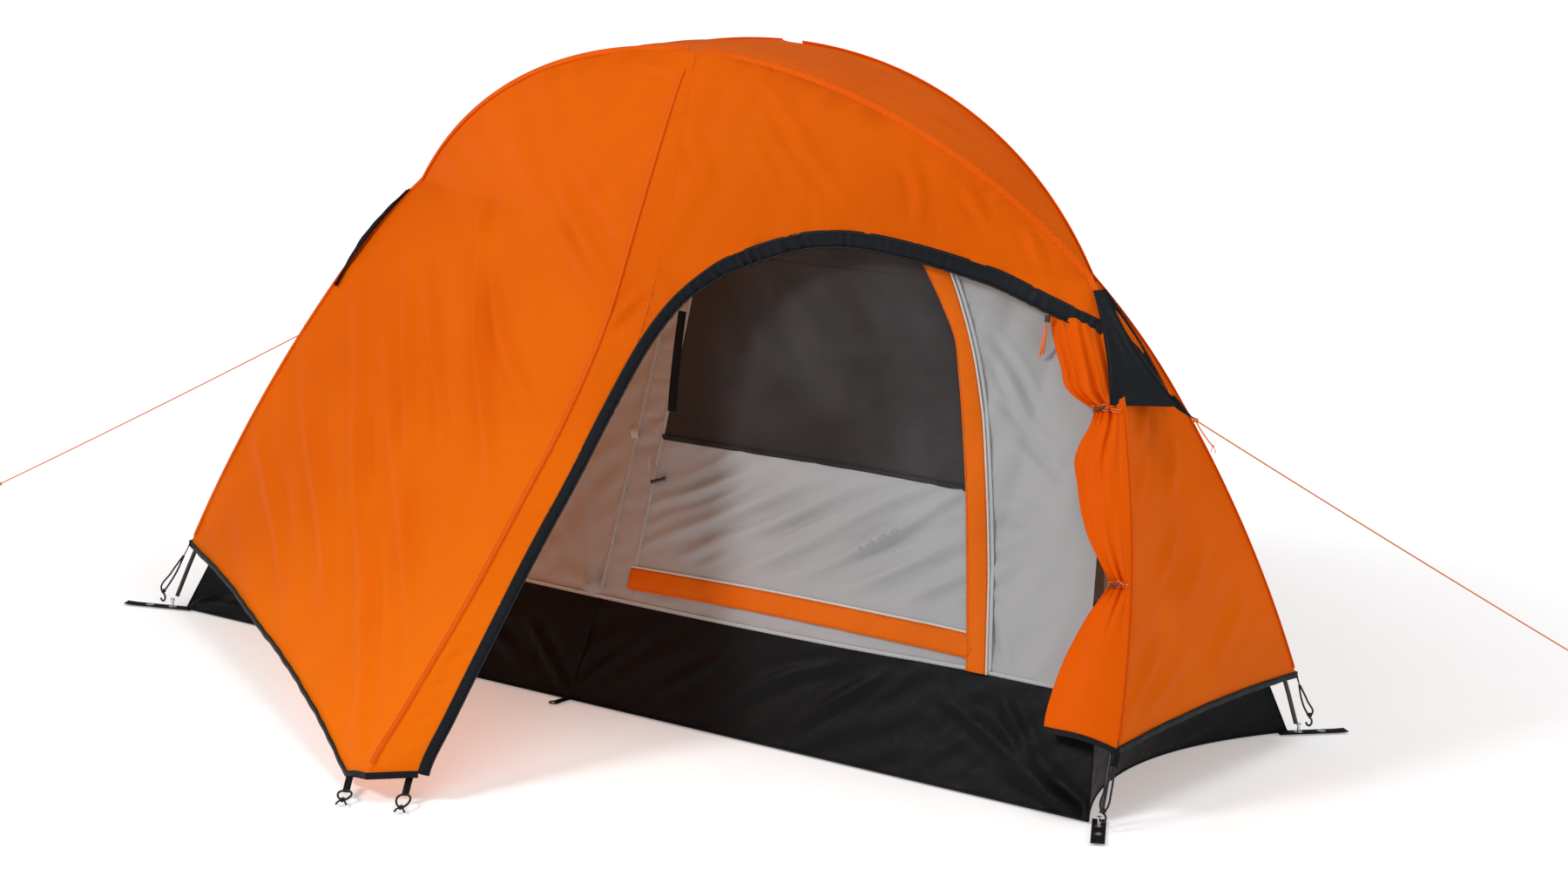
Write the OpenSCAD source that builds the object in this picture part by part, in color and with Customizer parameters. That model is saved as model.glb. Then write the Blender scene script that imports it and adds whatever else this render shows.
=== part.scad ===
// One-person dome tent with rainfly and front vestibule, pitched and guyed out.
// Two arched poles each stand on one long side, lean to the other side and cross twice.

/* [Poles] */
// In-plane height of each pole arch
apex_h = 1325; // [1315:5:1335]
// Radius of the wide arc over the roof
roof_r = 975; // [970:5:980]
// Radius of the nearly straight leg arc
leg_r = 2250; // [2240:5:2260]
// Lean of each arch from the vertical, degrees
lean = 24.1; // [24:0.1:24.3]
// Half distance between the front feet and the rear feet
foot_y = 395; // [393:1:396]
// Outer diameter of the fibreglass pole tube
pole_d = 8.5; // [7.9:0.1:8.5]
// Sections in each pole
sections = 8; // [6:1:9]

/* [Fabric] */
// Thickness that stands for each sheet of cloth
cloth_t = 2; // [1.6:0.1:2.2]
// Distance of the rainfly outside the nominal arches
fly_gap = 17; // [16:1:19]
// Distance of the inner tent inside the nominal arches
inner_gap = 45; // [44:1:48]
// Height of the waterproof floor wall
tub_h = 200; // [195:1:205]
// Width of the black hem binding
hem_w = 12; // [10:1:12]
// Width of the black band along the door of the rainfly
band_w = 30; // [28:1:32]

/* [Door] */
// Height of the sill zip above the ground
sill_z = 250; // [248:1:252]
// Top edge of the inner door
door_top = 860; // [850:1:862]
// Lower edge of the mesh window
window_z = 510; // [500:1:520]

/* [Guy lines] */
// Diameter of the guy cord
cord_d = 2.8; // [2.6:0.1:3]
// Sides of the swept cord
cord_sides = 8; // [8:2:8]

/* [Hidden] */
$fn = 32;

// The arch in its own plane: a leg arc and a roof arc that meet where the radius has turned to join_a.
join_a = 23.5;
roof_c = [0, apex_h - roof_r];
leg_c = roof_c - (leg_r - roof_r) * [cos(join_a), sin(join_a)];
foot_a = asin(-leg_c.y / leg_r);
foot_x = leg_c.x + leg_r * cos(foot_a);
leg_len = leg_r * (join_a - foot_a) * PI / 180;
roof_len = roof_r * (90 - join_a) * PI / 180;
half_len = leg_len + roof_len;
// Pole A passes outside pole B where they cross.
pole_step = 5;
ferrule_d = pole_d + 1.6;
ferrule_l = 60;
black = [0.03, 0.03, 0.035];
orange = [0.92, 0.36, 0.05];
grey = [0.66, 0.67, 0.68];
mesh_c = [0.16, 0.15, 0.15];
steel = [0.72, 0.72, 0.73];

// Point of the arch plane at arc length s from the foot, moved outward by off.
function arch(s, off = 0) =
    s < leg_len
    ? let (a = foot_a + s / leg_r * 180 / PI) leg_c + (leg_r + off) * [cos(a), sin(a)]
    : let (a = join_a + (s - leg_len) / roof_r * 180 / PI) roof_c + (roof_r + off) * [cos(a), sin(a)];
// Arc length at which the arch reaches in-plane height v.
function arc_at(v) =
    let (join_v = leg_c.y + leg_r * sin(join_a))
    v < join_v
    ? leg_r * (asin((v - leg_c.y) / leg_r) - foot_a) * PI / 180
    : leg_len + roof_r * (asin(min(1, (v - roof_c.y) / roof_r)) - join_a) * PI / 180;
// Skin line on the outside of both poles on one side (side -1 front, +1 rear), hand -1 left, +1 right.
function skin(s, hand, side, off, out) =
    let (p = arch(s, off))
    [hand * p.x, side * (abs(foot_y - p.y * sin(lean)) + out), p.y * cos(lean)];
function arc_at_z(z, off) = arc_at(min(apex_h, z / cos(lean) * (apex_h / (apex_h + off))));
function skin_z(z, hand, side, off, out) = skin(arc_at_z(z, off), hand, side, off, out);
cross_s = arc_at(foot_y / sin(lean));
cross_z = foot_y / sin(lean) * cos(lean);

function mix(a, b, t) = a + (b - a) * t;
function unit(v) = v / norm(v);
// Linear table lookup of points [key, value vector].
function table(rows, key, i = 0) =
    i >= len(rows) - 2 || key <= rows[i + 1][0]
    ? mix(rows[i][1], rows[i + 1][1], (key - rows[i][0]) / (rows[i + 1][0] - rows[i][0]))
    : table(rows, key, i + 1);

// Closed sheet on a grid of points; the solid lies behind the grid by t along its normals.
function grid_normal(g, i, j) =
    let (
        n = len(g) - 1,
        m = len(g[0]) - 1,
        di = g[min(n, i + 1)][j] - g[max(0, i - 1)][j],
        dj = g[i][min(m, j + 1)] - g[i][max(0, j - 1)]
    )
    unit(cross(di, dj));
function grid_faces(n, m) =
    let (a = n * m)
    concat(
        [for (i = [0 : n - 2]) for (j = [0 : m - 2]) for (f = [
            [i * m + j, i * m + j + 1, (i + 1) * m + j + 1],
            [i * m + j, (i + 1) * m + j + 1, (i + 1) * m + j]
        ]) f],
        [for (i = [0 : n - 2]) for (j = [0 : m - 2]) for (f = [
            [a + i * m + j, a + (i + 1) * m + j + 1, a + i * m + j + 1],
            [a + i * m + j, a + (i + 1) * m + j, a + (i + 1) * m + j + 1]
        ]) f],
        [for (j = [0 : m - 2]) for (f = [
            [j, a + j, a + j + 1], [j, a + j + 1, j + 1],
            [(n - 1) * m + j, (n - 1) * m + j + 1, a + (n - 1) * m + j + 1],
            [(n - 1) * m + j, a + (n - 1) * m + j + 1, a + (n - 1) * m + j]
        ]) f],
        [for (i = [0 : n - 2]) for (f = [
            [i * m, (i + 1) * m, a + (i + 1) * m], [i * m, a + (i + 1) * m, a + i * m],
            [i * m + m - 1, a + (i + 1) * m + m - 1, (i + 1) * m + m - 1],
            [i * m + m - 1, a + i * m + m - 1, a + (i + 1) * m + m - 1]
        ]) f]
    );
module sheet(g, t = cloth_t) {
    n = len(g);
    m = len(g[0]);
    back = [for (i = [0 : n - 1]) for (j = [0 : m - 1]) g[i][j] - t * grid_normal(g, i, j)];
    front = [for (row = g) for (p = row) p];
    faces = grid_faces(n, m);
    polyhedron(concat(front, back), t > 0 ? faces : [for (f = faces) [f[2], f[1], f[0]]], convexity = 6);
}
// Closed tube of radius r through the points of path.
function tube_dir(path, i) =
    unit(path[min(len(path) - 1, i + 1)] - path[max(0, i - 1)]);
module tube(path, r, sides = cord_sides) {
    n = len(path);
    ref = abs(unit(path[n - 1] - path[0]).z) < 0.7 ? [0, 0, 1] : [0, 1, 0];
    pts = [for (i = [0 : n - 1])
        let (
            d = tube_dir(path, i),
            u = unit(cross(d, ref)),
            v = cross(d, u)
        )
        for (k = [0 : sides - 1])
            path[i] + r * (cos(k * 360 / sides) * u + sin(k * 360 / sides) * v)];
    walls = [for (i = [0 : n - 2]) for (k = [0 : sides - 1])
        let (
            a = i * sides + k,
            b = i * sides + (k + 1) % sides
        )
        for (f = [[a, b + sides, b], [a, a + sides, b + sides]]) f];
    caps = [[for (k = [0 : sides - 1]) k], [for (k = [0 : sides - 1]) (n - 1) * sides + sides - 1 - k]];
    polyhedron(pts, concat(walls, caps), convexity = 6);
}

// ---------- Poles ----------
module arch_frame(front) {
    if (front)
        translate([0, -foot_y, 0]) rotate([90 - lean, 0, 0]) children();
    else
        mirror([0, 1, 0]) translate([0, -foot_y, 0]) rotate([90 - lean, 0, 0]) children();
}
// Piece of the right half of an arch between two arc lengths: a ring profile, hollow when bore is above 0.
module arc_piece(s0, s1, off, d, bore = 0) {
    if (s0 < leg_len)
        translate([leg_c.x, leg_c.y, 0])
            rotate([0, 0, foot_a + s0 / leg_r * 180 / PI])
                rotate_extrude(angle = (min(s1, leg_len) - s0) / leg_r * 180 / PI, $fn = 64)
                    translate([leg_r + off, 0]) ring(d, bore);
    if (s1 > leg_len)
        translate([roof_c.x, roof_c.y, 0])
            rotate([0, 0, join_a + (max(s0, leg_len) - leg_len) / roof_r * 180 / PI])
                rotate_extrude(angle = (s1 - max(s0, leg_len)) / roof_r * 180 / PI, $fn = 64)
                    translate([roof_r + off, 0]) ring(d, bore);
}
module ring(d, bore) {
    difference() {
        circle(d = d, $fn = 24);
        if (bore > 0)
            circle(d = bore, $fn = 24);
    }
}
foot_rise = 24;
section_l = (half_len - foot_rise) / (sections / 2);
module pole_tubes(front, off) {
    color(black) arch_frame(front)
        for (hand = [0, 1]) mirror([hand, 0, 0])
            for (k = [0 : sections / 2 - 1])
                arc_piece(foot_rise + k * section_l + 0.5, foot_rise + (k + 1) * section_l - 0.5, off, pole_d);
}
module pole_ferrules(front, off) {
    color(steel) arch_frame(front) {
        for (hand = [0, 1]) mirror([hand, 0, 0])
            for (k = [1 : sections / 2 - 1])
                arc_piece(foot_rise + k * section_l - ferrule_l / 2, foot_rise + k * section_l + ferrule_l / 2,
                    off, ferrule_d, pole_d);
        apex_a = ferrule_l / roof_r * 180 / PI;
        translate([roof_c.x, roof_c.y, 0]) rotate([0, 0, 90 - apex_a / 2])
            rotate_extrude(angle = apex_a, $fn = 64) translate([roof_r + off, 0]) ring(ferrule_d, pole_d);
    }
}
module pole_a_tubes() { pole_tubes(true, pole_step); }
module pole_b_tubes() { pole_tubes(false, -pole_step); }
module pole_a_ferrules() { pole_ferrules(true, pole_step); }
module pole_b_ferrules() { pole_ferrules(false, -pole_step); }

// Feet of the poles: [hand, side, radial step]
feet = [[-1, -1, pole_step], [1, -1, pole_step], [-1, 1, -pole_step], [1, 1, -pole_step]];
function foot_point(f) = [f[0] * (foot_x + f[2]), f[1] * foot_y, 0];
tip_r = 2.6;
module pole_tips() {
    color(steel) for (f = feet) translate(foot_point(f)) {
        translate([0, 0, 0.5]) cylinder(r1 = 1.8, r2 = tip_r, h = 2);
        translate([0, 0, 2.5]) cylinder(r = tip_r, h = 13);
        translate([0, 0, 15.5]) cylinder(r = 4.4, h = 4);
    }
}
// Webbing tabs that run outward from the floor corners, with two eyelets each; the tip stands in the inner one.
tab_dirs = [203, -62, 129, 51];
tab_w = 25;
tab_t = 1.5;
tab_out = 100;
eyelet_out = [0, 48];
module corner_tabs() {
    color(black) for (i = [0 : 3]) translate(foot_point(feet[i]) + [0, 0, 1])
        rotate([0, 0, tab_dirs[i]])
            difference() {
                translate([-42, -tab_w / 2, 0]) cube([tab_out + 42, tab_w, tab_t]);
                for (e = eyelet_out) translate([e, 0, -1]) cylinder(r = 5, h = 4);
            }
}
module tab_eyelets() {
    color(steel) for (i = [0 : 3]) translate(foot_point(feet[i]))
        rotate([0, 0, tab_dirs[i]]) for (e = eyelet_out) translate([e, 0, 0.6])
            difference() {
                union() {
                    cylinder(r = 5, h = 2.4);
                    translate([0, 0, 1.9]) cylinder(r = 8.5, h = 0.8);
                }
                translate([0, 0, -1]) cylinder(r = 3.4, h = 5);
            }
}
// Pull loops at the middle of the long floor edges.
module edge_loops() {
    color(black) for (side = [-1, 1]) translate([-78, side * (floor_y + 3), 0]) {
        translate([-9, side > 0 ? 0 : -34, 0.6]) cube([18, 34, 1.5]);
        translate([0, side * 40, 3]) rotate_extrude($fn = 32) translate([7, 0]) circle(r = 1.6, $fn = 16);
    }
}

// ---------- Floor ----------
floor_x = 1035;
floor_y = 384;
floor_sag = 90;
floor_t = 1.5;
// Inward curve of the short floor edge at position y.
function end_x(y) = floor_x - floor_sag * (1 - pow(y / floor_y, 2));
end_steps = 10;
end_ys = [for (k = [0 : end_steps]) mix(-floor_y + 1, floor_y - 1, k / end_steps)];
module floor() {
    color(black) linear_extrude(floor_t)
        polygon(concat(
            [for (y = end_ys) [end_x(y), y]],
            [for (k = [0 : end_steps]) [-end_x(end_ys[end_steps - k]), end_ys[end_steps - k]]]
        ));
}
tub_gap = 1.2;
// Wall line of the inner tent on the long sides at position x and height z.
function inner_top(x) =
    let (s = arc_at_x(abs(x)), p = arch(s, -inner_gap))
    [p.x, max(12, abs(foot_y - p.y * sin(lean)) - 8), p.y * cos(lean)];
function arc_at_x(x) =
    let (join_x = (roof_r - inner_gap) * cos(join_a))
    x > join_x
    ? leg_r * (acos(min(1, (x - leg_c.x) / (leg_r - inner_gap))) - foot_a) * PI / 180
    : leg_len + roof_r * (acos(x / (roof_r - inner_gap)) - join_a) * PI / 180;
function inner_y(x, z) = let (t = inner_top(x)) mix(floor_y, t.y, z / t.z);
function front_pt(x, z, out = 0) = [x, -inner_y(x, z) - out, z];
function back_pt(x, z, out = 0) = [x, inner_y(x, z) + out, z];
tub_x = 985;
module tub_front() {
    color(black) sheet([for (k = [0 : 8]) let (x = mix(-tub_x, tub_x, k / 8))
        [for (z = [floor_t + tub_gap, tub_h / 2, tub_h - tub_gap]) front_pt(x, z)]]);
}
module tub_back() {
    color(black) sheet([for (k = [0 : 8]) let (x = mix(tub_x, -tub_x, k / 8))
        [for (z = [floor_t + tub_gap, tub_h / 2, tub_h - tub_gap]) back_pt(x, z)]]);
}
// End line of the inner tent at height z: half width and distance from the middle.
function end_top(z) = let (s = arc_at(z / cos(lean)), p = arch(s, -inner_gap)) [p.x, abs(foot_y - p.y * sin(lean)) - 14];
function end_pt(hand, f, z) =
    let (
        low = [end_x(f * (floor_y - 14)), floor_y - 14],
        high = end_top(tub_h),
        t = z / tub_h
    )
    [hand * mix(low.x, high.x - 18 * (1 - f * f), t), f * mix(low.y, high.y, t), z];
module tub_end(hand) {
    color(black) sheet([for (k = [0 : 8]) let (f = hand * mix(-0.96, 0.96, k / 8))
        [for (z = [floor_t + tub_gap, tub_h / 2, tub_h - tub_gap]) end_pt(hand, f, z)]]);
}
module tub_left() { tub_end(-1); }
module tub_right() { tub_end(1); }

// ---------- Inner tent walls ----------
// Seam at the front middle and the hinge line of the door, x at height z.
function seam_x(z) = mix(-58, 10, z / 1000);
function hinge_x(z) = mix(16, 52, z / 1000);
// Curved zip on the right of the door, x at height z.
zip_line = [[0, [800]], [200, [752]], [500, [650]], [620, [602]], [700, [570]], [760, [545]], [820, [508]], [870, [462]]];
function zip_x(z) = table(zip_line, z)[0];
flap_w = 34;
function wall_top(x) = inner_top(x).z - 6;
gap = 1.9;
module wall_front_left() {
    x_out = 925;
    color(grey) sheet([for (k = [0 : 10]) let (u = k / 10)
        [for (r = [0 : 8]) let (
            x_ref = mix(-x_out, 0, u),
            zt = wall_top(x_ref),
            z = mix(tub_h + gap, zt, r / 8),
            x = mix(-x_out, seam_x(z) - gap, u)
        ) front_pt(x, min(z, wall_top(x) - 1))]]);
}
post_top = 1130;
module wall_front_post() {
    color(grey) sheet([for (u = [0, 0.5, 1])
        [for (r = [0 : 8]) let (z = mix(tub_h + gap, post_top, r / 8))
            front_pt(mix(seam_x(z) + gap, hinge_x(z) - gap, u), z)]]);
}
module wall_sill() {
    color(grey) sheet([for (k = [0 : 8])
        [for (z = [tub_h + gap, sill_z - gap]) front_pt(mix(hinge_x(z) + gap, zip_x(z) - gap, k / 8), z)]]);
}
module wall_front_right() {
    x_out = 925;
    color(grey) sheet([for (k = [0 : 8]) let (u = k / 8)
        [for (r = [0 : 8]) let (
            z_in = mix(tub_h + gap, 866, r / 8),
            x_in = zip_x(z_in) + gap,
            z_out = mix(tub_h + gap, 300, r / 8),
            x = mix(x_in, mix(x_out, 905, r / 8), u)
        ) front_pt(x, mix(z_in, z_out, u * u))]]);
    color(grey) wall_right_top();
}
// Upper part of the right wall, between the slanted lower part and the pole line.
module wall_right_top() {
    sheet([for (k = [0 : 8]) let (u = k / 8)
        [for (r = [0 : 4]) let (
            x = mix(zip_x(866) + gap, 905, u),
            z_low = mix(866, 300, u * u) + gap,
            z = mix(z_low, max(z_low + 3, wall_top(x)), r / 4)
        ) front_pt(x, z)]]);
}
module mesh_gable() {
    color(mesh_c) sheet([for (k = [0 : 6]) let (u = k / 6)
        [for (r = [0 : 4]) let (
            z_top = wall_top(mix(hinge_x(1100), zip_x(866), u)),
            z = mix(door_top + gap, z_top, r / 4),
            x = mix(hinge_x(z) + gap, zip_x(866) - gap, u)
        ) front_pt(x, z)]]);
}
module wall_back() {
    color(grey) sheet([for (k = [0 : 20]) let (x = mix(925, -925, k / 20))
        [for (r = [0 : 8]) back_pt(x, mix(tub_h + gap, wall_top(x), r / 8))]]);
}
module wall_end(hand) {
    color(grey) sheet([for (k = [0 : 6]) let (f = hand * mix(-1, 1, k / 6))
        [for (r = [0 : 8]) let (
            z = mix(tub_h + gap, cross_z - 90, r / 8),
            e = end_top(z)
        ) [hand * (e.x - 18 * (1 - f * f)), f * (e.y - 3), z]]]);
}
module wall_left_end() { wall_end(-1); }
module wall_right_end() { wall_end(1); }
module roof_mesh() {
    color(mesh_c) sheet([for (k = [0 : 20]) let (x = mix(-740, 740, k / 20), t = inner_top(x))
        [for (f = [-1, -0.5, 0, 0.5, 1]) [x, f * (t.y - 3), t.z - 1]]]);
}
// Hooks from the inner tent to the poles: [arc length, pole side]
clip_s = [300, 560, 820, 1180, 1420, 1660];
module pole_clips() {
    color(black) for (hand = [-1, 1]) for (side = [-1, 1]) for (s = clip_s) {
        leg = s < cross_s;
        step = (side < 0) == leg ? pole_step : -pole_step;
        d = pole_d / 2;
        outer = skin(s, hand, side, step - d - 3.5, 0);
        inner = skin(s, hand, side, -inner_gap + 5, -6);
        tube([outer, mix(outer, inner, 0.5), inner], 3, 6);
    }
}

// ---------- Inner door ----------
module door_leaf(z0, z1, rows) {
    sheet([for (k = [0 : 8])
        [for (r = [0 : rows]) let (z = mix(z0, z1, r / rows))
            front_pt(mix(hinge_x(z) + gap, zip_x(z) - gap, k / 8), z)]]);
}
module door_panel() { color(grey) door_leaf(sill_z + gap, window_z, 4); }
module door_mesh() { color(mesh_c) door_leaf(window_z, door_top - gap, 6); }
flap_out = 3.2;
module flap_upright() {
    color(orange) sheet([for (k = [0 : 12]) let (z = mix(door_top - 4, sill_z + 6, k / 12), xc = zip_x(z))
        [for (x = [xc + flap_w / 2, xc, xc - flap_w / 2]) front_pt(x, z, flap_out)]], 1.2);
}
module flap_lower() {
    color(orange) sheet([for (k = [0 : 3]) let (z = mix(sill_z - 4, tub_h + 3, k / 3), xc = zip_x(z))
        [for (x = [xc + flap_w / 2, xc, xc - flap_w / 2]) front_pt(x, z, flap_out)]], 1.2);
}
module flap_sill() {
    color(orange) sheet([for (k = [0 : 8]) let (x = mix(hinge_x(sill_z), zip_x(sill_z) - flap_w / 2 - 9, k / 8))
        [for (z = [sill_z + 22, sill_z + 2, sill_z - 16]) front_pt(x, z, flap_out)]], 1.2);
}
// Zip coils on the inside of the wall, beside the gap between door and wall.
coil_w = 5;
coil_back = 0.7;
module zip_upright() {
    color(black) sheet([for (k = [0 : 10]) let (z = mix(tub_h + 4, door_top, k / 10), xc = zip_x(z) + coil_w)
        [for (x = [xc + coil_w / 2, xc - coil_w / 2]) front_pt(x, z, -cloth_t - coil_back)]]);
}
module zip_sill() {
    color(black) sheet([for (k = [0 : 8]) let (x = mix(hinge_x(sill_z) + 6, zip_x(sill_z) - 8, k / 8))
        [for (z = [sill_z - 9, sill_z - 5]) front_pt(x, z, -cloth_t - coil_back)]]);
}
// Sliders run on the inner face of their coils, each with a small pull plate.
module slider() {
    color(steel) {
        translate([-5, 0, -6]) cube([10, 3, 12]);
        translate([-3, 3.2, -26]) cube([6, 1.2, 24]);
        translate([-2, 3, -5]) cube([4, 0.2, 3]);
    }
}
upright_rest = [zip_x(240) + coil_w, 0, 240];
upright_dir = front_pt(zip_x(480), 480) - front_pt(zip_x(240), 240);
module slider_upright() {
    p = front_pt(upright_rest.x, 240, -2 * cloth_t - coil_back - 5.4);
    translate(p) slider();
}
sill_rest_x = zip_x(sill_z) - 60;
module slider_sill() {
    p = front_pt(sill_rest_x, sill_z - 10, -2 * cloth_t - coil_back - 3.6);
    translate(p) slider();
}
// White loop and toggle beside the hinge that hold the rolled door.
toggle_z = 470;
module tie_loop() {
    p = front_pt(hinge_x(toggle_z) - 14, toggle_z, 0);
    color([0.85, 0.85, 0.83]) tube([
        p + [0, -1.6, 6], p + [0, -8, 2], p + [4, -16, -12], p + [14, -20, -25], p + [28, -20, -31.5]
    ], 1.4, 6);
}
module tie_toggle() {
    p = front_pt(hinge_x(toggle_z) - 14, toggle_z, 0) + [30, -20, -37];
    color(black) translate(p) rotate([0, 72, 33]) translate([0, 0, -13]) {
        cylinder(r = 3.2, h = 26);
        translate([0, 0, -1]) cylinder(r = 4, h = 3);
        translate([0, 0, 24]) cylinder(r = 4, h = 3);
    }
}

// ---------- Rainfly ----------
fly_out = 6;
hem_z = 122;
function fly_side(z, hand, side) = skin_z(z, hand, side, fly_gap, fly_out);
fly_top_z = (apex_h + fly_gap) * cos(lean);
// Seam of the vestibule from the roof to the pegs: height to [x, y].
seam_line = [
    [0, [56, -1142]], [60, [53, -1112]], [130, [48, -1030]], [290, [38, -850]], [450, [30, -690]],
    [570, [22, -570]], [735, [15, -442]], [915, [10, -352]], [1085, [5, -268]], [1195, [2, -206]],
    [1240, [0, -170]]
];
function seam_pt(z) = let (p = table(seam_line, z)) [p[0], p[1], z];
// Front faces of the rainfly: u from 0 at the seam to 1 at the pole line, at height z.
function face_pt(hand, u, z) = mix(seam_pt(z), fly_side(z, hand, -1), u);
// Height of the front left hem at share u of the way from the seam to the pole line.
hem_line = [[0, [44]], [0.1, [58]], [0.21, [80]], [0.38, [96]], [0.56, [109]], [1, [hem_z]]];
function hem_front(u) = table(hem_line, u)[0];
module fly_front_left() {
    rows = 14;
    color(orange) sheet([for (r = [0 : rows]) let (t = r / rows)
        [for (k = [0 : 10]) let (
            u = mix(0.006, 1, k / 10),
            zs = mix(hem_front(u) + hem_w, fly_top_z - 8, t)
        ) face_pt(-1, u, zs)]]);
}
// Door edge of the rainfly: share of the way from the seam to the pole line, and height.
edge_line = [
    [0, [0.062, 58]], [1, [0.054, 220]], [2, [0.05, 350]], [3, [0.054, 477]], [4, [0.058, 596]],
    [5, [0.075, 705]], [6, [0.11, 782]], [7, [0.164, 837]], [8, [0.233, 878]], [9, [0.356, 916]],
    [10, [0.451, 930]], [11, [0.542, 931]], [12, [0.646, 919]], [13, [0.738, 900]], [14, [0.822, 877]],
    [15, [0.897, 848]], [16, [0.96, 824]]
];
function edge_uz(k) = table(edge_line, k);
function edge_pt(k, du = 0, dz = 0) = let (e = edge_uz(k)) face_pt(1, e[0] + du, e[1] + dz);
// Right edge of the narrow strip beside the seam, as a share of the front face.
strip_edge = [[0, [0.052]], [220, [0.048]], [470, [0.046]], [596, [0.052]], [720, [0.068]], [1200, [0.068]]];
module fly_front_strip() {
    color(orange) sheet([for (k = [0 : 9]) let (z = mix(70, 1180, k / 9))
        [for (u = [0, 0.5, 1]) face_pt(1, mix(0.008, table(strip_edge, z)[0], u), z)]]);
}
module fly_header() {
    cols = 14;
    color(orange) sheet([for (k = [0 : cols]) let (e = edge_uz(mix(4.9, 15.7, k / cols)), u = max(0.078, e[0]))
        [for (r = [0 : 6]) face_pt(1, u, mix(e[1] + 8, mix(1188, 1196, u), r / 6))]]);
}
// Black band that hangs from the door edge, pleated on the real tent.
module door_band() {
    cols = 32;
    color(black) sheet([for (k = [0 : cols]) let (
            a = edge_pt(16 * k / cols),
            b = edge_pt(min(16, 16 * k / cols + 0.2)),
            c = edge_pt(max(0, 16 * k / cols - 0.2)),
            d = unit(b - c),
            n = unit(cross(d, [0.55, -0.83, 0])),
            w = band_w * (k < 8 ? 0.55 : 1)
        )
        [a + n * 3, a + n * (3 + w)]]);
}
function roof_side(x, side) =
    let (a = acos(min(1, abs(x) / (roof_r + fly_gap))), v = roof_c.y + (roof_r + fly_gap) * sin(a))
    [x, side * max(6, abs(foot_y - v * sin(lean)) + fly_out - 4), v * cos(lean) + 2];
module fly_roof() {
    color(orange) sheet([for (k = [0 : 20]) let (x = mix(-770, 770, k / 20))
        [for (f = [-1, -0.5, 0, 0.5, 1]) let (a = roof_side(x, -1), b = roof_side(x, 1))
            mix(a, b, (f + 1) / 2) + [0, 0, 5 * (1 - f * f)]]]);
}
// Rear of the rainfly: straight lines in upright planes from the hem to the pole line.
rear_hem = skin_z(hem_z, 1, 1, fly_gap, fly_out);
function rear_top(x) =
    let (ax = abs(x), z = rear_z(ax))
    [x, skin_z(z, 1, 1, fly_gap, fly_out).y, z];
function rear_z(ax) =
    let (join_x = (roof_r + fly_gap) * cos(join_a))
    cos(lean) * (ax < join_x
        ? roof_c.y + sqrt(pow(roof_r + fly_gap, 2) - ax * ax)
        : leg_c.y + sqrt(pow(leg_r + fly_gap, 2) - pow(ax - leg_c.x, 2)));
// The rear hem is pegged out a little at its middle, clear of the floor wall.
rear_x = rear_hem.x - 12;
rear_bulge = 52;
function rear_hem_y(x) = rear_hem.y + rear_bulge * (1 - pow(x / rear_hem.x, 2));
module fly_back() {
    color(orange) sheet([for (k = [0 : 24]) let (x = mix(rear_x, -rear_x, k / 24), t = rear_top(x))
        [for (r = [0 : 8]) let (
            z = mix(hem_z + hem_w, max(t.z - 3, hem_z + hem_w + 6), r / 8),
            f = (z - hem_z) / (t.z - hem_z)
        ) [x, mix(rear_hem_y(x), t.y, min(1, f)), z]]]);
}
function fly_end_pt(hand, f, z) =
    let (e = fly_side(z, 1, 1))
    [hand * (e.x + 2), f * (e.y - 3), z + 12 * (1 - f * f) * (1 - min(1, (z - hem_z) / 300))];
module fly_end(hand) {
    color(orange) sheet([for (k = [0 : 6]) let (f = hand * mix(-1, 1, k / 6))
        [for (r = [0 : 10]) fly_end_pt(hand, f, mix(hem_z + hem_w, cross_z - 12, r / 10))]]);
}
module fly_left_end() { fly_end(-1); }
module fly_right_end() { fly_end(1); }
module hem_strip(points, drop = hem_w) {
    sheet([for (p = points) [p + [0, 0, drop - 1.5], p]]);
}
module hem_binding() {
    color(black) {
        hem_strip([for (k = [0 : 12]) let (u = mix(0.012, 0.99, k / 12)) face_pt(-1, u, hem_front(u))]);
        hem_strip([for (k = [0 : 12]) let (f = mix(-0.95, 0.95, k / 12)) fly_end_pt(1, f, hem_z)]);
        hem_strip([for (k = [0 : 12]) let (f = mix(0.95, -0.95, k / 12)) fly_end_pt(-1, f, hem_z)]);
        hem_strip([for (k = [0 : 12]) let (x = mix(rear_x, -rear_x, k / 12)) [x, rear_hem_y(x), hem_z]]);
        hem_strip([for (k = [0 : 2]) face_pt(1, mix(0.008, 0.05, k / 2), 52)]);
    }
}
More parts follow.
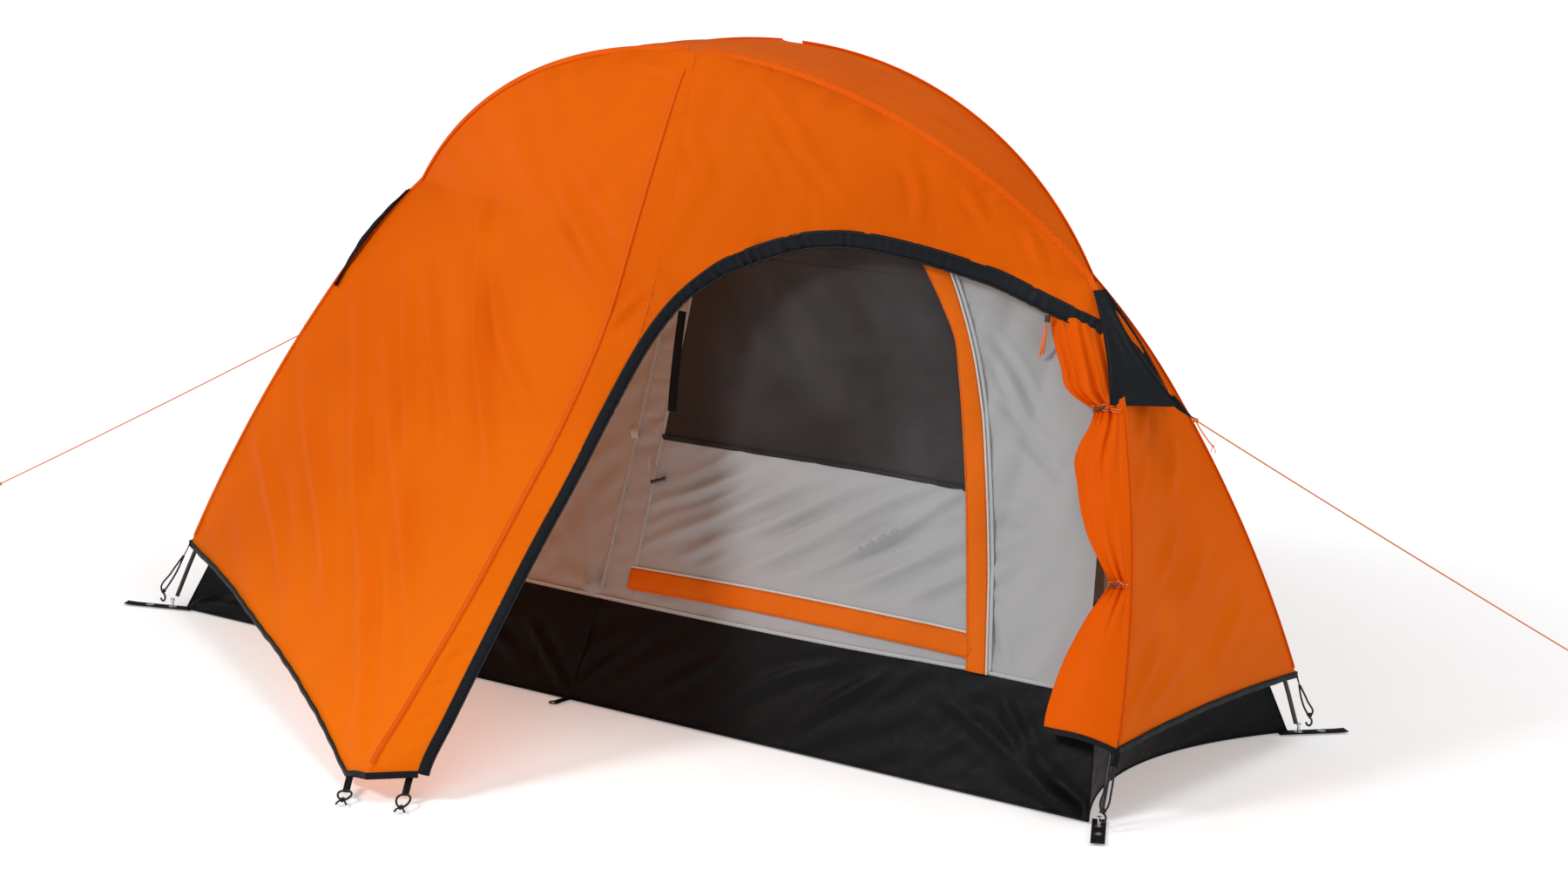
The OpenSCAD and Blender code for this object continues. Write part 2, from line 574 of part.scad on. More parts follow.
// Zipped door of the rainfly, gathered along the front right leg: height to [x, y, half width, half depth].
gather_line = [
    [170, [1000, -352, 62, 12]], [235, [985, -322, 58, 16]], [310, [985, -296, 44, 18]],
    [365, [992, -270, 26, 17]], [392, [990, -262, 13, 12]], [420, [975, -250, 24, 17]],
    [475, [945, -228, 34, 20]], [525, [918, -206, 38, 21]], [577, [896, -184, 36, 20]],
    [630, [877, -160, 26, 17]], [668, [868, -146, 12, 11]], [700, [840, -128, 26, 15]],
    [760, [800, -100, 30, 13]], [800, [775, -86, 26, 10]]
];
module gathered_door() {
    sides = 12;
    n = len(gather_line);
    pts = [for (i = [0 : n - 1]) let (g = gather_line[i], v = g[1]) for (k = [0 : sides - 1])
        let (a = k * 360 / sides) [v[0] + v[2] * cos(a), v[1] - 24 + v[3] * sin(a), g[0]]];
    walls = [for (i = [0 : n - 2]) for (k = [0 : sides - 1])
        let (a = i * sides + k, b = i * sides + (k + 1) % sides)
        for (f = [[a, b + sides, b], [a, a + sides, b + sides]]) f];
    caps = [[for (k = [0 : sides - 1]) k], [for (k = [0 : sides - 1]) (n - 1) * sides + sides - 1 - k]];
    color(orange) polyhedron(pts, concat(walls, caps), convexity = 6);
}
gather_nodes = [4, 10];
module gather_ties() {
    color(orange) for (i = gather_nodes) let (g = gather_line[i], v = g[1])
        translate([v[0], v[1] - 24, g[0]]) difference() {
            cylinder(r = v[2] + 4.5, h = 5, center = true);
            cylinder(r = v[2] + 2.9, h = 7, center = true);
        }
}
module gather_toggles() {
    color([0.28, 0.15, 0.08]) for (i = gather_nodes) let (g = gather_line[i], v = g[1])
        translate([v[0] - 4, v[1] - 24 - v[2] - 12, g[0]]) rotate([0, 90, 20]) cylinder(r = 3, h = 22, center = true);
}
// Guy patches: a cap over each end crossing, its tip drawn outward by the guy line.
patch_top = [832, 0, 842];
patch_tips = [[-976, 49, 596], [1000, 0, 656]];
patch_lows = [[940, 108, 650], [928, 96, 680]];
patch_sag = 8;
function patch_pt(hand, side, k, r) =
    let (
        i = hand < 0 ? 0 : 1,
        tip = patch_tips[i],
        low = patch_lows[i],
        ridge = mix([hand * patch_top.x, side * 6, patch_top.z], tip + [0, side * 1.5, 6], k)
            - [0, 0, patch_sag * 4 * k * (1 - k)],
        edge = mix([hand * low.x, side * low.y, low.z], tip + [0, side * 1.5, -6], k)
    )
    mix(ridge, edge, r);
module guy_patches() {
    color(black) for (hand = [-1, 1]) for (side = [-1, 1])
        sheet([for (r = [0 : 3]) [for (k = [0 : 5]) patch_pt(hand, side, k / 5, r / 3)]],
            hand * side < 0 ? -1.2 : 1.2);
}
// Elastic loops from the hem corners of the rainfly toward the pole feet.
module shock_loops() {
    color(black) for (f = feet) {
        top = [f[0] * (rear_hem.x + 3), f[1] * (rear_hem.y + 1), hem_z - 2];
        foot = foot_point(f) + [f[0] * 14, f[1] * 14, 0];
        for (d = [-1, 1])
            tube([top + [d * 3, 0, 0], mix(top, foot, 0.5) + [d * 6, 0, 0], [foot.x + d * 5, foot.y, 38]], 1.4, 6);
        translate([foot.x, foot.y, 30]) sphere(r = 5, $fn = 20);
    }
}
// Webbing tabs and cord loops at the two peg points of the vestibule.
peg_xy = [[2, -1122], [122, -1106]];
peg_z = [40, 50];
module peg_tabs() {
    color(black) for (i = [0, 1])
        translate([peg_xy[i].x, peg_xy[i].y, 16]) rotate([12, 0, 0]) translate([-6, -1, 0]) cube([12, 2, peg_z[i] - 14]);
}
module peg_loops() {
    color(black) for (i = [0, 1]) {
        translate([peg_xy[i].x + 3, peg_xy[i].y - 16, 12]) rotate([62, 0, 0])
            rotate_extrude($fn = 32) translate([9, 0]) circle(r = 1.5, $fn = 16);
        translate([peg_xy[i].x + 10, peg_xy[i].y - 30, 5]) sphere(r = 4.5, $fn = 20);
    }
}
// Slider at the top of the door zip of the rainfly, with a hanging cord pull.
fly_zip_p = edge_pt(15.1) + [0, -11, -38];
module fly_slider() {
    color(black) translate(fly_zip_p) cube([9, 4, 12], center = true);
}
module fly_zip_pull() {
    color(orange) translate(fly_zip_p + [0, -4.5, -8])
        tube([[0, 0, 0], [1, -1, -20], [-2, -2, -42], [-5, -2, -58]], 2.4, 8);
}
// Webbing strap that hangs behind the door band.
module hanging_strap() {
    p = [96, -330, 575];
    color(black) translate(p) cube([17, 1.6, 190]);
}

// ---------- Guy lines ----------
right_start = patch_tips[1] + [10, 2, -6];
right_end = [1475, 1118, 8];
left_start = patch_tips[0] + [-10, 1, -6];
left_end = [-2128, 150, 8];
cord_rings = 24;
function straight(a, b, n) = [for (k = [0 : n]) mix(a, b, k / n)];
module guy_cord_right() {
    color(orange) tube(straight(right_start, right_end, cord_rings), cord_d / 2);
}
module guy_cord_left() {
    color(orange) tube(straight(left_start, left_end, cord_rings), cord_d / 2);
}
module guy_cord_knots() {
    color(orange) for (e = [[right_start, right_end], [left_start, left_end]]) let (d = unit(e[1] - e[0])) {
        translate(e[0] - d * 5.1) sphere(r = 5, $fn = 20);
        translate(e[1] + d * 5.1) sphere(r = 5, $fn = 20);
    }
}

pole_a_tubes();
pole_a_ferrules();
pole_b_tubes();
pole_b_ferrules();
pole_tips();
corner_tabs();
tab_eyelets();
edge_loops();
floor();
tub_front();
tub_back();
tub_left();
tub_right();
wall_front_left();
wall_front_post();
wall_sill();
wall_front_right();
mesh_gable();
wall_back();
wall_left_end();
wall_right_end();
roof_mesh();
pole_clips();
zip_upright();
zip_sill();
flap_lower();
tie_loop();
door_panel();
door_mesh();
flap_upright();
flap_sill();
slider_upright();
slider_sill();
tie_toggle();
fly_front_left();
fly_front_strip();
fly_header();
fly_roof();
fly_back();
fly_left_end();
fly_right_end();
door_band();
hem_binding();
gathered_door();
gather_ties();
gather_toggles();
guy_patches();
shock_loops();
peg_tabs();
peg_loops();
fly_slider();
hanging_strap();
fly_zip_pull();
guy_cord_right();
guy_cord_left();
guy_cord_knots();
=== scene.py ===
"""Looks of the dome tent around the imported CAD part: cloth, trims, cords, light and camera."""
import math

import bpy
import numpy as np
from mathutils import Matrix, Vector


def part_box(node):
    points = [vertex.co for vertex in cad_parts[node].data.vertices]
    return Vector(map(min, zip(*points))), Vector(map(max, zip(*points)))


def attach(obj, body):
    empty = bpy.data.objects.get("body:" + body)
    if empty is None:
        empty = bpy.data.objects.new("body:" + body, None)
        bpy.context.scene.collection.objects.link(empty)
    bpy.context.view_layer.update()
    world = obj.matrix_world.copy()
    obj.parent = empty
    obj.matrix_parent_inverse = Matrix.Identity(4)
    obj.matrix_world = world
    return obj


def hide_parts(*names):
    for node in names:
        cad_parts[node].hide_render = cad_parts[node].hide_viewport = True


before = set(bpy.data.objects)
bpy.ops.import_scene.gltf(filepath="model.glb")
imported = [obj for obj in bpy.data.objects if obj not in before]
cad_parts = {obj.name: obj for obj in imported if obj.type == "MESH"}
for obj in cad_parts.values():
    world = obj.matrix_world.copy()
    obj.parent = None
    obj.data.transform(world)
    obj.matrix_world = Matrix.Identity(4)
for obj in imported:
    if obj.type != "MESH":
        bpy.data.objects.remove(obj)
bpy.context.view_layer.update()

# ---------- Measures of the tent, in metres ----------
# They are the CAD part's, but the floor's edge, the hem and the lines of the zip follow the photograph.
APEX_H = 1.325
ROOF_R = 0.975
LEG_R = 2.25
LEAN = math.radians(24.1)
JOIN = math.radians(23.5)
FOOT_Y = 0.395
FLY_GAP = 0.017
FLY_OUT = 0.006
INNER_GAP = 0.045
CORNER_X = 1.053
FLOOR_Y = 0.384
FLOOR_SAG = 0.107
TUB_H = 0.2
SILL_Z = 0.25
WINDOW_Z = 0.51
DOOR_TOP = 0.86
HEM_Z = 0.122
HEM_W = 0.012
CORD_D = 0.0028
WALL_X = 0.925  # least half length of the long inner walls

ROOF_CV = APEX_H - ROOF_R
LEG_CX = -(LEG_R - ROOF_R) * math.cos(JOIN)
LEG_CV = ROOF_CV - (LEG_R - ROOF_R) * math.sin(JOIN)
FOOT_A = math.asin(-LEG_CV / LEG_R)
FOOT_X = LEG_CX + LEG_R * math.cos(FOOT_A)
LEG_LEN = LEG_R * (JOIN - FOOT_A)
HALF_LEN = LEG_LEN + ROOF_R * (math.pi / 2 - JOIN)
CROSS_Z = FOOT_Y / math.tan(LEAN)
FLY_TOP = HALF_LEN - 0.0005  # arc length where the fly panels end, just short of the top


# ---------- Small mathematics ----------
def mix(a, b, t):
    return a + (b - a) * t


def smooth(t):
    t = np.clip(t, 0, 1)
    return t * t * (3 - 2 * t)


def unit(v):
    v = np.asarray(v, float)
    return v / np.maximum(np.linalg.norm(v, axis=-1, keepdims=True), 1e-9)


def point(x, y, z):
    return np.stack(np.broadcast_arrays(*(np.asarray(c, float) for c in (x, y, z))), -1)


def spline(rows, key):
    """Smooth curve through rows of (key, value, ...), read at key."""
    rows = np.array(rows, float)
    k, v = rows[:, 0], rows[:, 1:]
    slope = np.gradient(v, k, axis=0)
    key = np.clip(np.asarray(key, float), k[0], k[-1])
    i = np.clip(np.searchsorted(k, key, side="right") - 1, 0, len(k) - 2)
    h = (k[i + 1] - k[i])[..., None]
    t = (key - k[i])[..., None] / h
    ends = (1 + 2 * t) * (1 - t) ** 2 * v[i] + t * t * (3 - 2 * t) * v[i + 1]
    return ends + h * (t * (1 - t) ** 2 * slope[i] + t * t * (t - 1) * slope[i + 1])


def through(points, count):
    """A smooth path of count points through the given points."""
    points = np.array(points, float)
    step = np.linalg.norm(np.diff(points, axis=0), axis=1)
    key = np.concatenate([[0], np.cumsum(np.maximum(step, 1e-6))])
    return spline(np.column_stack([key, points]), np.linspace(0, key[-1], count))


# ---------- Lines of the tent ----------
def arch(s, off):
    """Point of the pole's plane at arc length s from the foot, moved outward by off."""
    leg = s < LEG_LEN
    a = np.where(leg, FOOT_A + s / LEG_R, JOIN + (s - LEG_LEN) / ROOF_R)
    r = np.where(leg, LEG_R, ROOF_R) + off
    return np.where(leg, LEG_CX, 0) + r * np.cos(a), np.where(leg, LEG_CV, ROOF_CV) + r * np.sin(a)


def pole_line(s, off, out=0.0):
    """Rear line of the poles' right half at arc lengths s, moved off in their plane and out to the rear."""
    x, v = arch(np.asarray(s, float), off)
    return x, np.abs(FOOT_Y - v * math.sin(LEAN)) + out, v * math.cos(LEAN)


ARC = np.linspace(0, HALF_LEN, 700)
FLY_X, FLY_Y, FLY_ZS = pole_line(ARC, FLY_GAP, FLY_OUT)
IN_X, IN_Y, IN_ZS = pole_line(ARC, -INNER_GAP, -0.008)
IN_Y = np.maximum(IN_Y, 0.012)
# Height, x and y of the seam down the middle of the front.
SEAM = [
    (0, 0.056, -1.142), (0.06, 0.053, -1.112), (0.13, 0.048, -1.03), (0.29, 0.038, -0.85),
    (0.45, 0.03, -0.69), (0.57, 0.022, -0.57), (0.735, 0.015, -0.442), (0.915, 0.01, -0.352),
    (1.085, 0.005, -0.268), (1.195, 0.002, -0.206), (1.24, 0, -0.17),
]
# Share of the way from the middle seam to the left pole, and height of the hem there.
HEM = [
    (0, 0.036), (0.05, 0.022), (0.075, 0.014), (0.095, 0.018), (0.19, 0.043), (0.295, 0.061),
    (0.435, 0.079), (0.61, 0.094), (0.78, 0.111), (1, HEM_Z),
]
# Numbered points of the edge of the doorway: share of the way to the right pole, and height.
DOOR_EDGE = [
    (0, 0.066, 0.048), (1, 0.054, 0.22), (2, 0.05, 0.35), (3, 0.054, 0.477), (4, 0.058, 0.596),
    (5, 0.075, 0.705), (6, 0.11, 0.782), (7, 0.164, 0.837), (8, 0.233, 0.878), (9, 0.356, 0.916),
    (10, 0.451, 0.93), (11, 0.542, 0.931), (12, 0.646, 0.919), (13, 0.738, 0.9), (14, 0.822, 0.877),
    (15, 0.897, 0.848), (16, 0.96, 0.824), (16.7, 1.0, 0.808),
]
HEADER_FROM = 5  # point of DOOR_EDGE where the header begins, beside the strip
# Height and x of the upright zip of the inner door, then of both edges of its cover.
ZIP = [
    (0, 0.8), (0.2, 0.752), (0.5, 0.656), (0.62, 0.622), (0.7, 0.598), (0.76, 0.579), (0.82, 0.547),
    (0.87, 0.513), (0.89, 0.498),
]
FLAP_LEFT = [
    (0.203, 0.739), (0.505, 0.649), (0.695, 0.592), (0.755, 0.572), (0.812, 0.538), (0.886, 0.487),
]
FLAP_RIGHT = [
    (0.196, 0.783), (0.509, 0.687), (0.64, 0.643), (0.742, 0.604), (0.8, 0.577), (0.866, 0.542),
    (0.89, 0.527),
]


def fly_side(z, hand, side):
    """Point of the rainfly over a pole at height z."""
    return point(hand * np.interp(z, FLY_ZS, FLY_X), side * np.interp(z, FLY_ZS, FLY_Y), z)


def fly_line(s, hand, side):
    return fly_side(np.interp(s, ARC, FLY_ZS), hand, side)


def arc_of(z):
    return np.interp(z, FLY_ZS, ARC)


def seam(z):
    p = spline(SEAM, z)
    return point(p[..., 0], p[..., 1], z)


def face(hand, u, z):
    """Front of the rainfly: u runs from 0 at the middle seam to 1 at the pole."""
    u, z = np.broadcast_arrays(np.asarray(u, float), np.asarray(z, float))
    return mix(seam(z), fly_side(z, hand, -1), u[..., None])


def door_edge(k):
    e = spline(DOOR_EDGE, k)
    return e[..., 0], e[..., 1]


def fly_end(hand, f, z):
    """Short end of the rainfly: f runs from -1 at the front to 1 at the rear."""
    e = fly_side(z, 1, 1)
    dip = 0.012 * (1 - f * f) * (1 - np.clip((z - HEM_Z) / 0.3, 0, 1))
    hollow = 0.012 * (1 - f * f) * np.sin(np.pi * np.clip((z - HEM_Z) / (CROSS_Z - HEM_Z), 0, 1))
    return point(hand * (e[..., 0] + 0.002 - hollow), f * e[..., 1], z + dip)


def fly_back(x, t):
    """Rear of the rainfly: t runs from 0 at the hem to 1 at the pole."""
    a = np.abs(x)
    top_z = np.interp(-a, -FLY_X, FLY_ZS)
    top_y = np.interp(-a, -FLY_X, FLY_Y)
    rear = fly_side(HEM_Z, 1, 1)
    hem_y = rear[1] + 0.052 * (1 - (x / rear[0]) ** 2)
    return point(x, mix(hem_y, top_y, t), mix(HEM_Z, top_z, t))


def inner_top(x):
    a = np.abs(x)
    return np.interp(-a, -IN_X, IN_Y), np.interp(-a, -IN_X, IN_ZS)


def inner(x, z, side=-1, out=0.0):
    """Long wall of the inner tent at position x and height z, moved outward by out."""
    top_y, top_z = inner_top(x)
    return point(x, side * (mix(FLOOR_Y, top_y, np.minimum(1, z / top_z)) + out), z)


def inner_end(hand, f, z):
    """Short end of the inner tent, above the floor wall."""
    x = np.interp(z, IN_ZS, IN_X)
    y = np.interp(z, IN_ZS, IN_Y) - 0.006
    return point(hand * (x - 0.018 * (1 - f * f)), f * y, z)


def seam_x(z):
    return mix(-0.058, 0.01, z)


def hinge_x(z):
    return mix(0.016, 0.052, z)


def zip_x(z):
    return spline(ZIP, z)[..., 0]


def flap_right(z):
    return spline(FLAP_RIGHT, z)[..., 0]


# ---------- Creases and folds, as heights over a grid of points ----------
RIPPLE_WAVES = 14


def normals(p):
    """Outward normals of a grid, from its rows (upward) and columns (to the right)."""
    return unit(np.cross(np.gradient(p, axis=1), np.gradient(p, axis=0)))


def lengths(p, axis):
    step = np.linalg.norm(np.diff(p, axis=axis), axis=-1)
    pad = [(0, 0), (0, 0)]
    pad[axis] = (1, 0)
    return np.cumsum(np.pad(step, pad), axis=axis)


def pinned(p, reach, sides="lrbt"):
    """0 along the sewn sides of the grid (left, right, bottom, top), rising to 1 within reach."""
    across, up = lengths(p, 1), lengths(p, 0)
    gaps = {"l": across, "r": across[:, -1:] - across, "b": up, "t": up[-1:] - up}
    hold = np.ones(p.shape[:2])
    for side in sides:
        hold = hold * smooth(gaps[side] / reach)
    return hold


def near(p, path):
    """Distance of each point from a path, and the share of the path's length passed there."""
    path = np.asarray(path, float)
    seg = np.diff(path, axis=0)
    size = np.linalg.norm(seg, axis=1)
    start = np.concatenate([[0], np.cumsum(size)])
    best, where = np.full(p.shape[:2], 9.0), np.zeros(p.shape[:2])
    for i, d in enumerate(seg):
        t = np.clip(((p - path[i]) @ d) / max(size[i] ** 2, 1e-12), 0, 1)
        gap = np.linalg.norm(p - path[i] - t[..., None] * d, axis=-1)
        closer = gap < best
        best = np.where(closer, gap, best)
        where = np.where(closer, (start[i] + t * size[i]) / start[-1], where)
    return best, where


def crease(p, path, width, height, fan=False):
    """A narrow crest beside a shallow valley, along a path. A fan crease is strong at its start."""
    gap, where = near(p, path)
    taper = (1 - where) ** 1.3 if fan else np.sin(np.pi * np.clip(where, 0.02, 0.98)) ** 0.7
    crest = np.exp(-(gap / width) ** 1.4)
    valley = 0.45 * np.exp(-((gap - 2.1 * width) / width) ** 2)
    return height * taper * (crest - valley)


def ripples(p, along, pitch, height, seed, spread=0.25):
    """Random waves whose crests run along a direction, for cloth under pull."""
    rng = np.random.default_rng(seed)
    n = unit(normals(p).reshape(-1, 3).mean(0))
    along = unit(np.array(along) - n * np.dot(along, n))
    across = np.cross(n, along)
    total = np.zeros(p.shape[:2])
    for _ in range(RIPPLE_WAVES):
        wave = 2 * math.pi / pitch * rng.uniform(0.6, 1.7)
        k = wave * (across + along * rng.normal(0, spread))
        total += np.sin(p @ k + rng.uniform(0, 6.3)) * rng.uniform(0.4, 1)
    return height * total / math.sqrt(RIPPLE_WAVES)


def puckers(p, path, reach, pitch, height, seed):
    """Short puckers that stand square to a seam and fade away from it."""
    rng = np.random.default_rng(seed)
    gap, where = near(p, path)
    total = np.linalg.norm(np.diff(path, axis=0), axis=1).sum()
    a = where * total
    knots = np.arange(0, total + 0.05, 0.03)
    drift = np.interp(a, knots, rng.uniform(-2.2, 2.2, len(knots)))
    level = np.interp(a, knots, rng.uniform(0.15, 1.0, len(knots)))
    swell = (gap / reach) * np.exp(1 - gap / reach)
    return height * level * swell * np.sin(2 * math.pi * a / pitch + drift)


# ---------- Meshes ----------
def quads(rows, cols):
    """Faces of a grid of points that are numbered row by row."""
    i = np.arange(rows * cols).reshape(rows, cols)
    return np.stack([i[:-1, :-1], i[:-1, 1:], i[1:, 1:], i[1:, :-1]], -1).reshape(-1, 4)


def placed(name, data):
    """A new object in the scene."""
    obj = bpy.data.objects.new(name, data)
    bpy.context.scene.collection.objects.link(obj)
    return obj


class Shape:
    """Vertices and faces of one piece, gathered from grids, tubes and stitches."""

    def __init__(self):
        self.points, self.uvs, self.faces, self.marks = [], [], [], []
        self.count = 0

    def add(self, points, uvs, faces, mark=0):
        self.points.append(np.asarray(points, float))
        self.uvs.append(np.asarray(uvs, float))
        self.faces += (np.asarray(faces) + self.count).tolist()
        self.marks += [mark] * len(faces)
        self.count += len(points)
        return self

    def grid(self, p, mark=0):
        uv = np.stack([lengths(p, 1), lengths(p, 0)], -1)
        return self.add(p.reshape(-1, 3), uv.reshape(-1, 2), quads(*p.shape[:2]), mark)

    def tube(self, path, radius, sides=8, mark=0):
        """Round tube with closed ends, with a radius that may change along the path."""
        path = np.asarray(path, float)
        radius = np.broadcast_to(np.asarray(radius, float), len(path))
        way = unit(np.gradient(path, axis=0))
        side = np.empty_like(path)
        last = np.array([0.013, 0.007, 1])
        for i, d in enumerate(way):
            last = unit(last - d * np.dot(last, d))
            side[i] = last
        other = np.cross(way, side)
        a = np.linspace(0, 2 * math.pi, sides + 1)
        ring = side[:, None] * np.sin(a)[None, :, None] + other[:, None] * np.cos(a)[None, :, None]
        p = path[:, None] + ring * radius[:, None, None]
        self.grid(p, mark)
        for end in (0, -1):
            hub = np.concatenate([[path[end]], p[end, :-1]])
            fan = [[0, 1 + k, 1 + (k + 1) % sides] for k in range(sides)]
            self.add(hub, np.zeros((len(hub), 2)), [f if end == -1 else f[::-1] for f in fan], mark)
        return self

    def ribbon(self, path, across, thick, mark=0):
        """Strap along a path; across gives half its width as a vector at each point."""
        path = np.asarray(path, float)
        across = np.broadcast_to(np.asarray(across, float), path.shape)
        n = unit(np.cross(np.gradient(path, axis=0), across)) * thick / 2
        corners = [across + n, across * 0.86 + n * 1.25, -across * 0.86 + n * 1.25, -across + n,
                   -across - n, -across * 0.86 - n * 1.25, across * 0.86 - n * 1.25, across - n, across + n]
        p = np.stack([path + c for c in corners], 1)
        self.grid(p, mark)
        for end in (0, -1):
            self.add(p[end, :-1], np.zeros((8, 2)), [list(range(8))[:: 1 if end else -1]], mark)
        return self

    def stitches(self, path, normal, pitch=0.006, size=0.0006, mark=0):
        """A row of separate thread stitches along a path."""
        path = np.asarray(path, float)
        total = np.linalg.norm(np.diff(path, axis=0), axis=1)
        key = np.concatenate([[0], np.cumsum(total)])
        starts = np.arange(pitch / 2, key[-1] - pitch, pitch)
        ends = starts + pitch * 0.62
        a, b = (np.stack([np.interp(t, key, path[:, c]) for c in range(3)], -1) for t in (starts, ends))
        n = unit(np.broadcast_to(np.asarray(normal, float), path.shape))
        n = np.stack([np.interp(starts, key, n[:, c]) for c in range(3)], -1)
        side = unit(np.cross(b - a, n)) * size
        lift = n * size
        around = ((-side, 0), (side, 0), (side, lift), (-side, lift))
        box = [at + way + rise for at in (a, b) for way, rise in around]
        corner = np.stack(box, 1).reshape(-1, 3)
        one = [[3, 2, 1, 0], [4, 5, 6, 7], [2, 3, 7, 6], [1, 2, 6, 5], [3, 0, 4, 7], [0, 1, 5, 4]]
        faces = [[f + 8 * k for f in q] for k in range(len(starts)) for q in one]
        return self.add(corner, corner[:, :2], faces, mark)

    def twin_stitches(self, path, across, normal):
        """Two rows of stitches, one on each side of a path."""
        for k in (-1, 1):
            self.stitches(path + k * np.asarray(across, float), normal, mark=1)

    def piece(self, name, body, slot, materials, replaces=(), thick=0.0, weld=0.0):
        """The finished object: it rides on a CAD body and stands for CAD nodes."""
        mesh = bpy.data.meshes.new(name)
        mesh.from_pydata(np.concatenate(self.points).tolist(), [], self.faces)
        uv = mesh.uv_layers.new(name="UVMap")
        loops = np.empty(len(mesh.loops), int)
        mesh.loops.foreach_get("vertex_index", loops)
        uv.data.foreach_set("uv", np.concatenate(self.uvs)[loops].ravel())
        mesh.polygons.foreach_set("use_smooth", [True] * len(mesh.polygons))
        for m in materials if isinstance(materials, (list, tuple)) else [materials]:
            mesh.materials.append(m)
        mesh.polygons.foreach_set("material_index", self.marks)
        obj = placed(name, mesh)
        if weld:
            step = obj.modifiers.new("weld", "WELD")
            step.merge_threshold = weld
        if thick:
            step = obj.modifiers.new("thickness", "SOLIDIFY")
            step.thickness = thick
            step.offset = -1
        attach(obj, body)
        if replaces:
            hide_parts(*replaces)
        return obj


def area_of(p):
    d = np.cross(p[1:, 1:] - p[:-1, :-1], p[1:, :-1] - p[:-1, 1:])
    return float(np.linalg.norm(d, axis=-1).sum() / 2)


LOW_SHARE = 0.31
DECLARED_SHARE = 0.33


def sheet(obj, grids):
    """Works out the flat size that a cloth panel's smooth surface unrolls to; nothing keeps it.

    A panel that fills less than LOW_SHARE of that size is declared narrower than it is, down to
    DECLARED_SHARE, so its declared width is not its true one.
    """
    area = sum(area_of(p) for p in grids)
    wide = sum(float(lengths(p, 1)[:, -1].max()) for p in grids[:1])
    tall = max(float(lengths(p, 0)[-1].max()) for p in grids)
    grow = max(1.0, math.sqrt(area / (wide * tall)))
    flat = (round(wide * grow + 0.001, 3), round(tall * grow + 0.001, 3))
    share = area / (flat[0] * flat[1])
    if share < LOW_SHARE:
        flat = (round(flat[0] * share / DECLARED_SHARE, 3), flat[1])


# ---------- Materials ----------
def new_material(name):
    """A material, its tree, its base shader, and the object and UV coordinates."""
    material = bpy.data.materials.new(name)
    material.use_nodes = True
    tree = material.node_tree
    tree.nodes.clear()
    coords = tree.nodes.new("ShaderNodeTexCoord").outputs
    base = tree.nodes.new("ShaderNodeBsdfPrincipled")
    return material, tree, base, coords["Object"], coords["UV"]


def show(tree, shader):
    out = tree.nodes.new("ShaderNodeOutputMaterial")
    tree.links.new(shader, out.inputs["Surface"])


def bump_chain(tree, steps):
    """Bumps one after another; steps are (height socket, strength, distance)."""
    last = None
    for height, strength, distance in steps:
        bump = tree.nodes.new("ShaderNodeBump")
        bump.inputs["Strength"].default_value = strength
        bump.inputs["Distance"].default_value = distance
        tree.links.new(height, bump.inputs["Height"])
        if last is not None:
            tree.links.new(last, bump.inputs["Normal"])
        last = bump.outputs["Normal"]
    return last


def noise(tree, coords, scale, detail, rough=0.5, warp=0.0, kind="FBM"):
    n = tree.nodes.new("ShaderNodeTexNoise")
    n.noise_type = kind
    n.inputs["Scale"].default_value = scale
    n.inputs["Detail"].default_value = detail
    n.inputs["Roughness"].default_value = rough
    n.inputs["Distortion"].default_value = warp
    tree.links.new(coords, n.inputs["Vector"])
    return n.outputs["Fac"]


def drive(tree, value, socket, low, high, span=(0.3, 0.7)):
    """Drives a socket from low to high, colours or grey levels, while value crosses the span."""
    r = tree.nodes.new("ShaderNodeValToRGB")
    for mark, at, colour in zip(r.color_ramp.elements, span, (low, high)):
        mark.position = at
        mark.color = (*np.broadcast_to(colour, 3), 1)
    tree.links.new(value, r.inputs["Fac"])
    tree.links.new(r.outputs["Color"], socket)


def wave(tree, coords, pitch, direction):
    w = tree.nodes.new("ShaderNodeTexWave")
    w.wave_type = "BANDS"
    w.bands_direction = direction
    w.inputs["Scale"].default_value = 0.314 / pitch
    w.inputs["Distortion"].default_value = 0.4
    tree.links.new(coords, w.inputs["Vector"])
    return w.outputs["Fac"]


def weave(tree, coords, pitch):
    """Height of a plain weave of the given thread pitch."""
    product = tree.nodes.new("ShaderNodeMath")
    product.operation = "MAXIMUM"
    tree.links.new(wave(tree, coords, pitch, "X"), product.inputs[0])
    tree.links.new(wave(tree, coords, pitch, "Y"), product.inputs[1])
    return product.outputs[0]


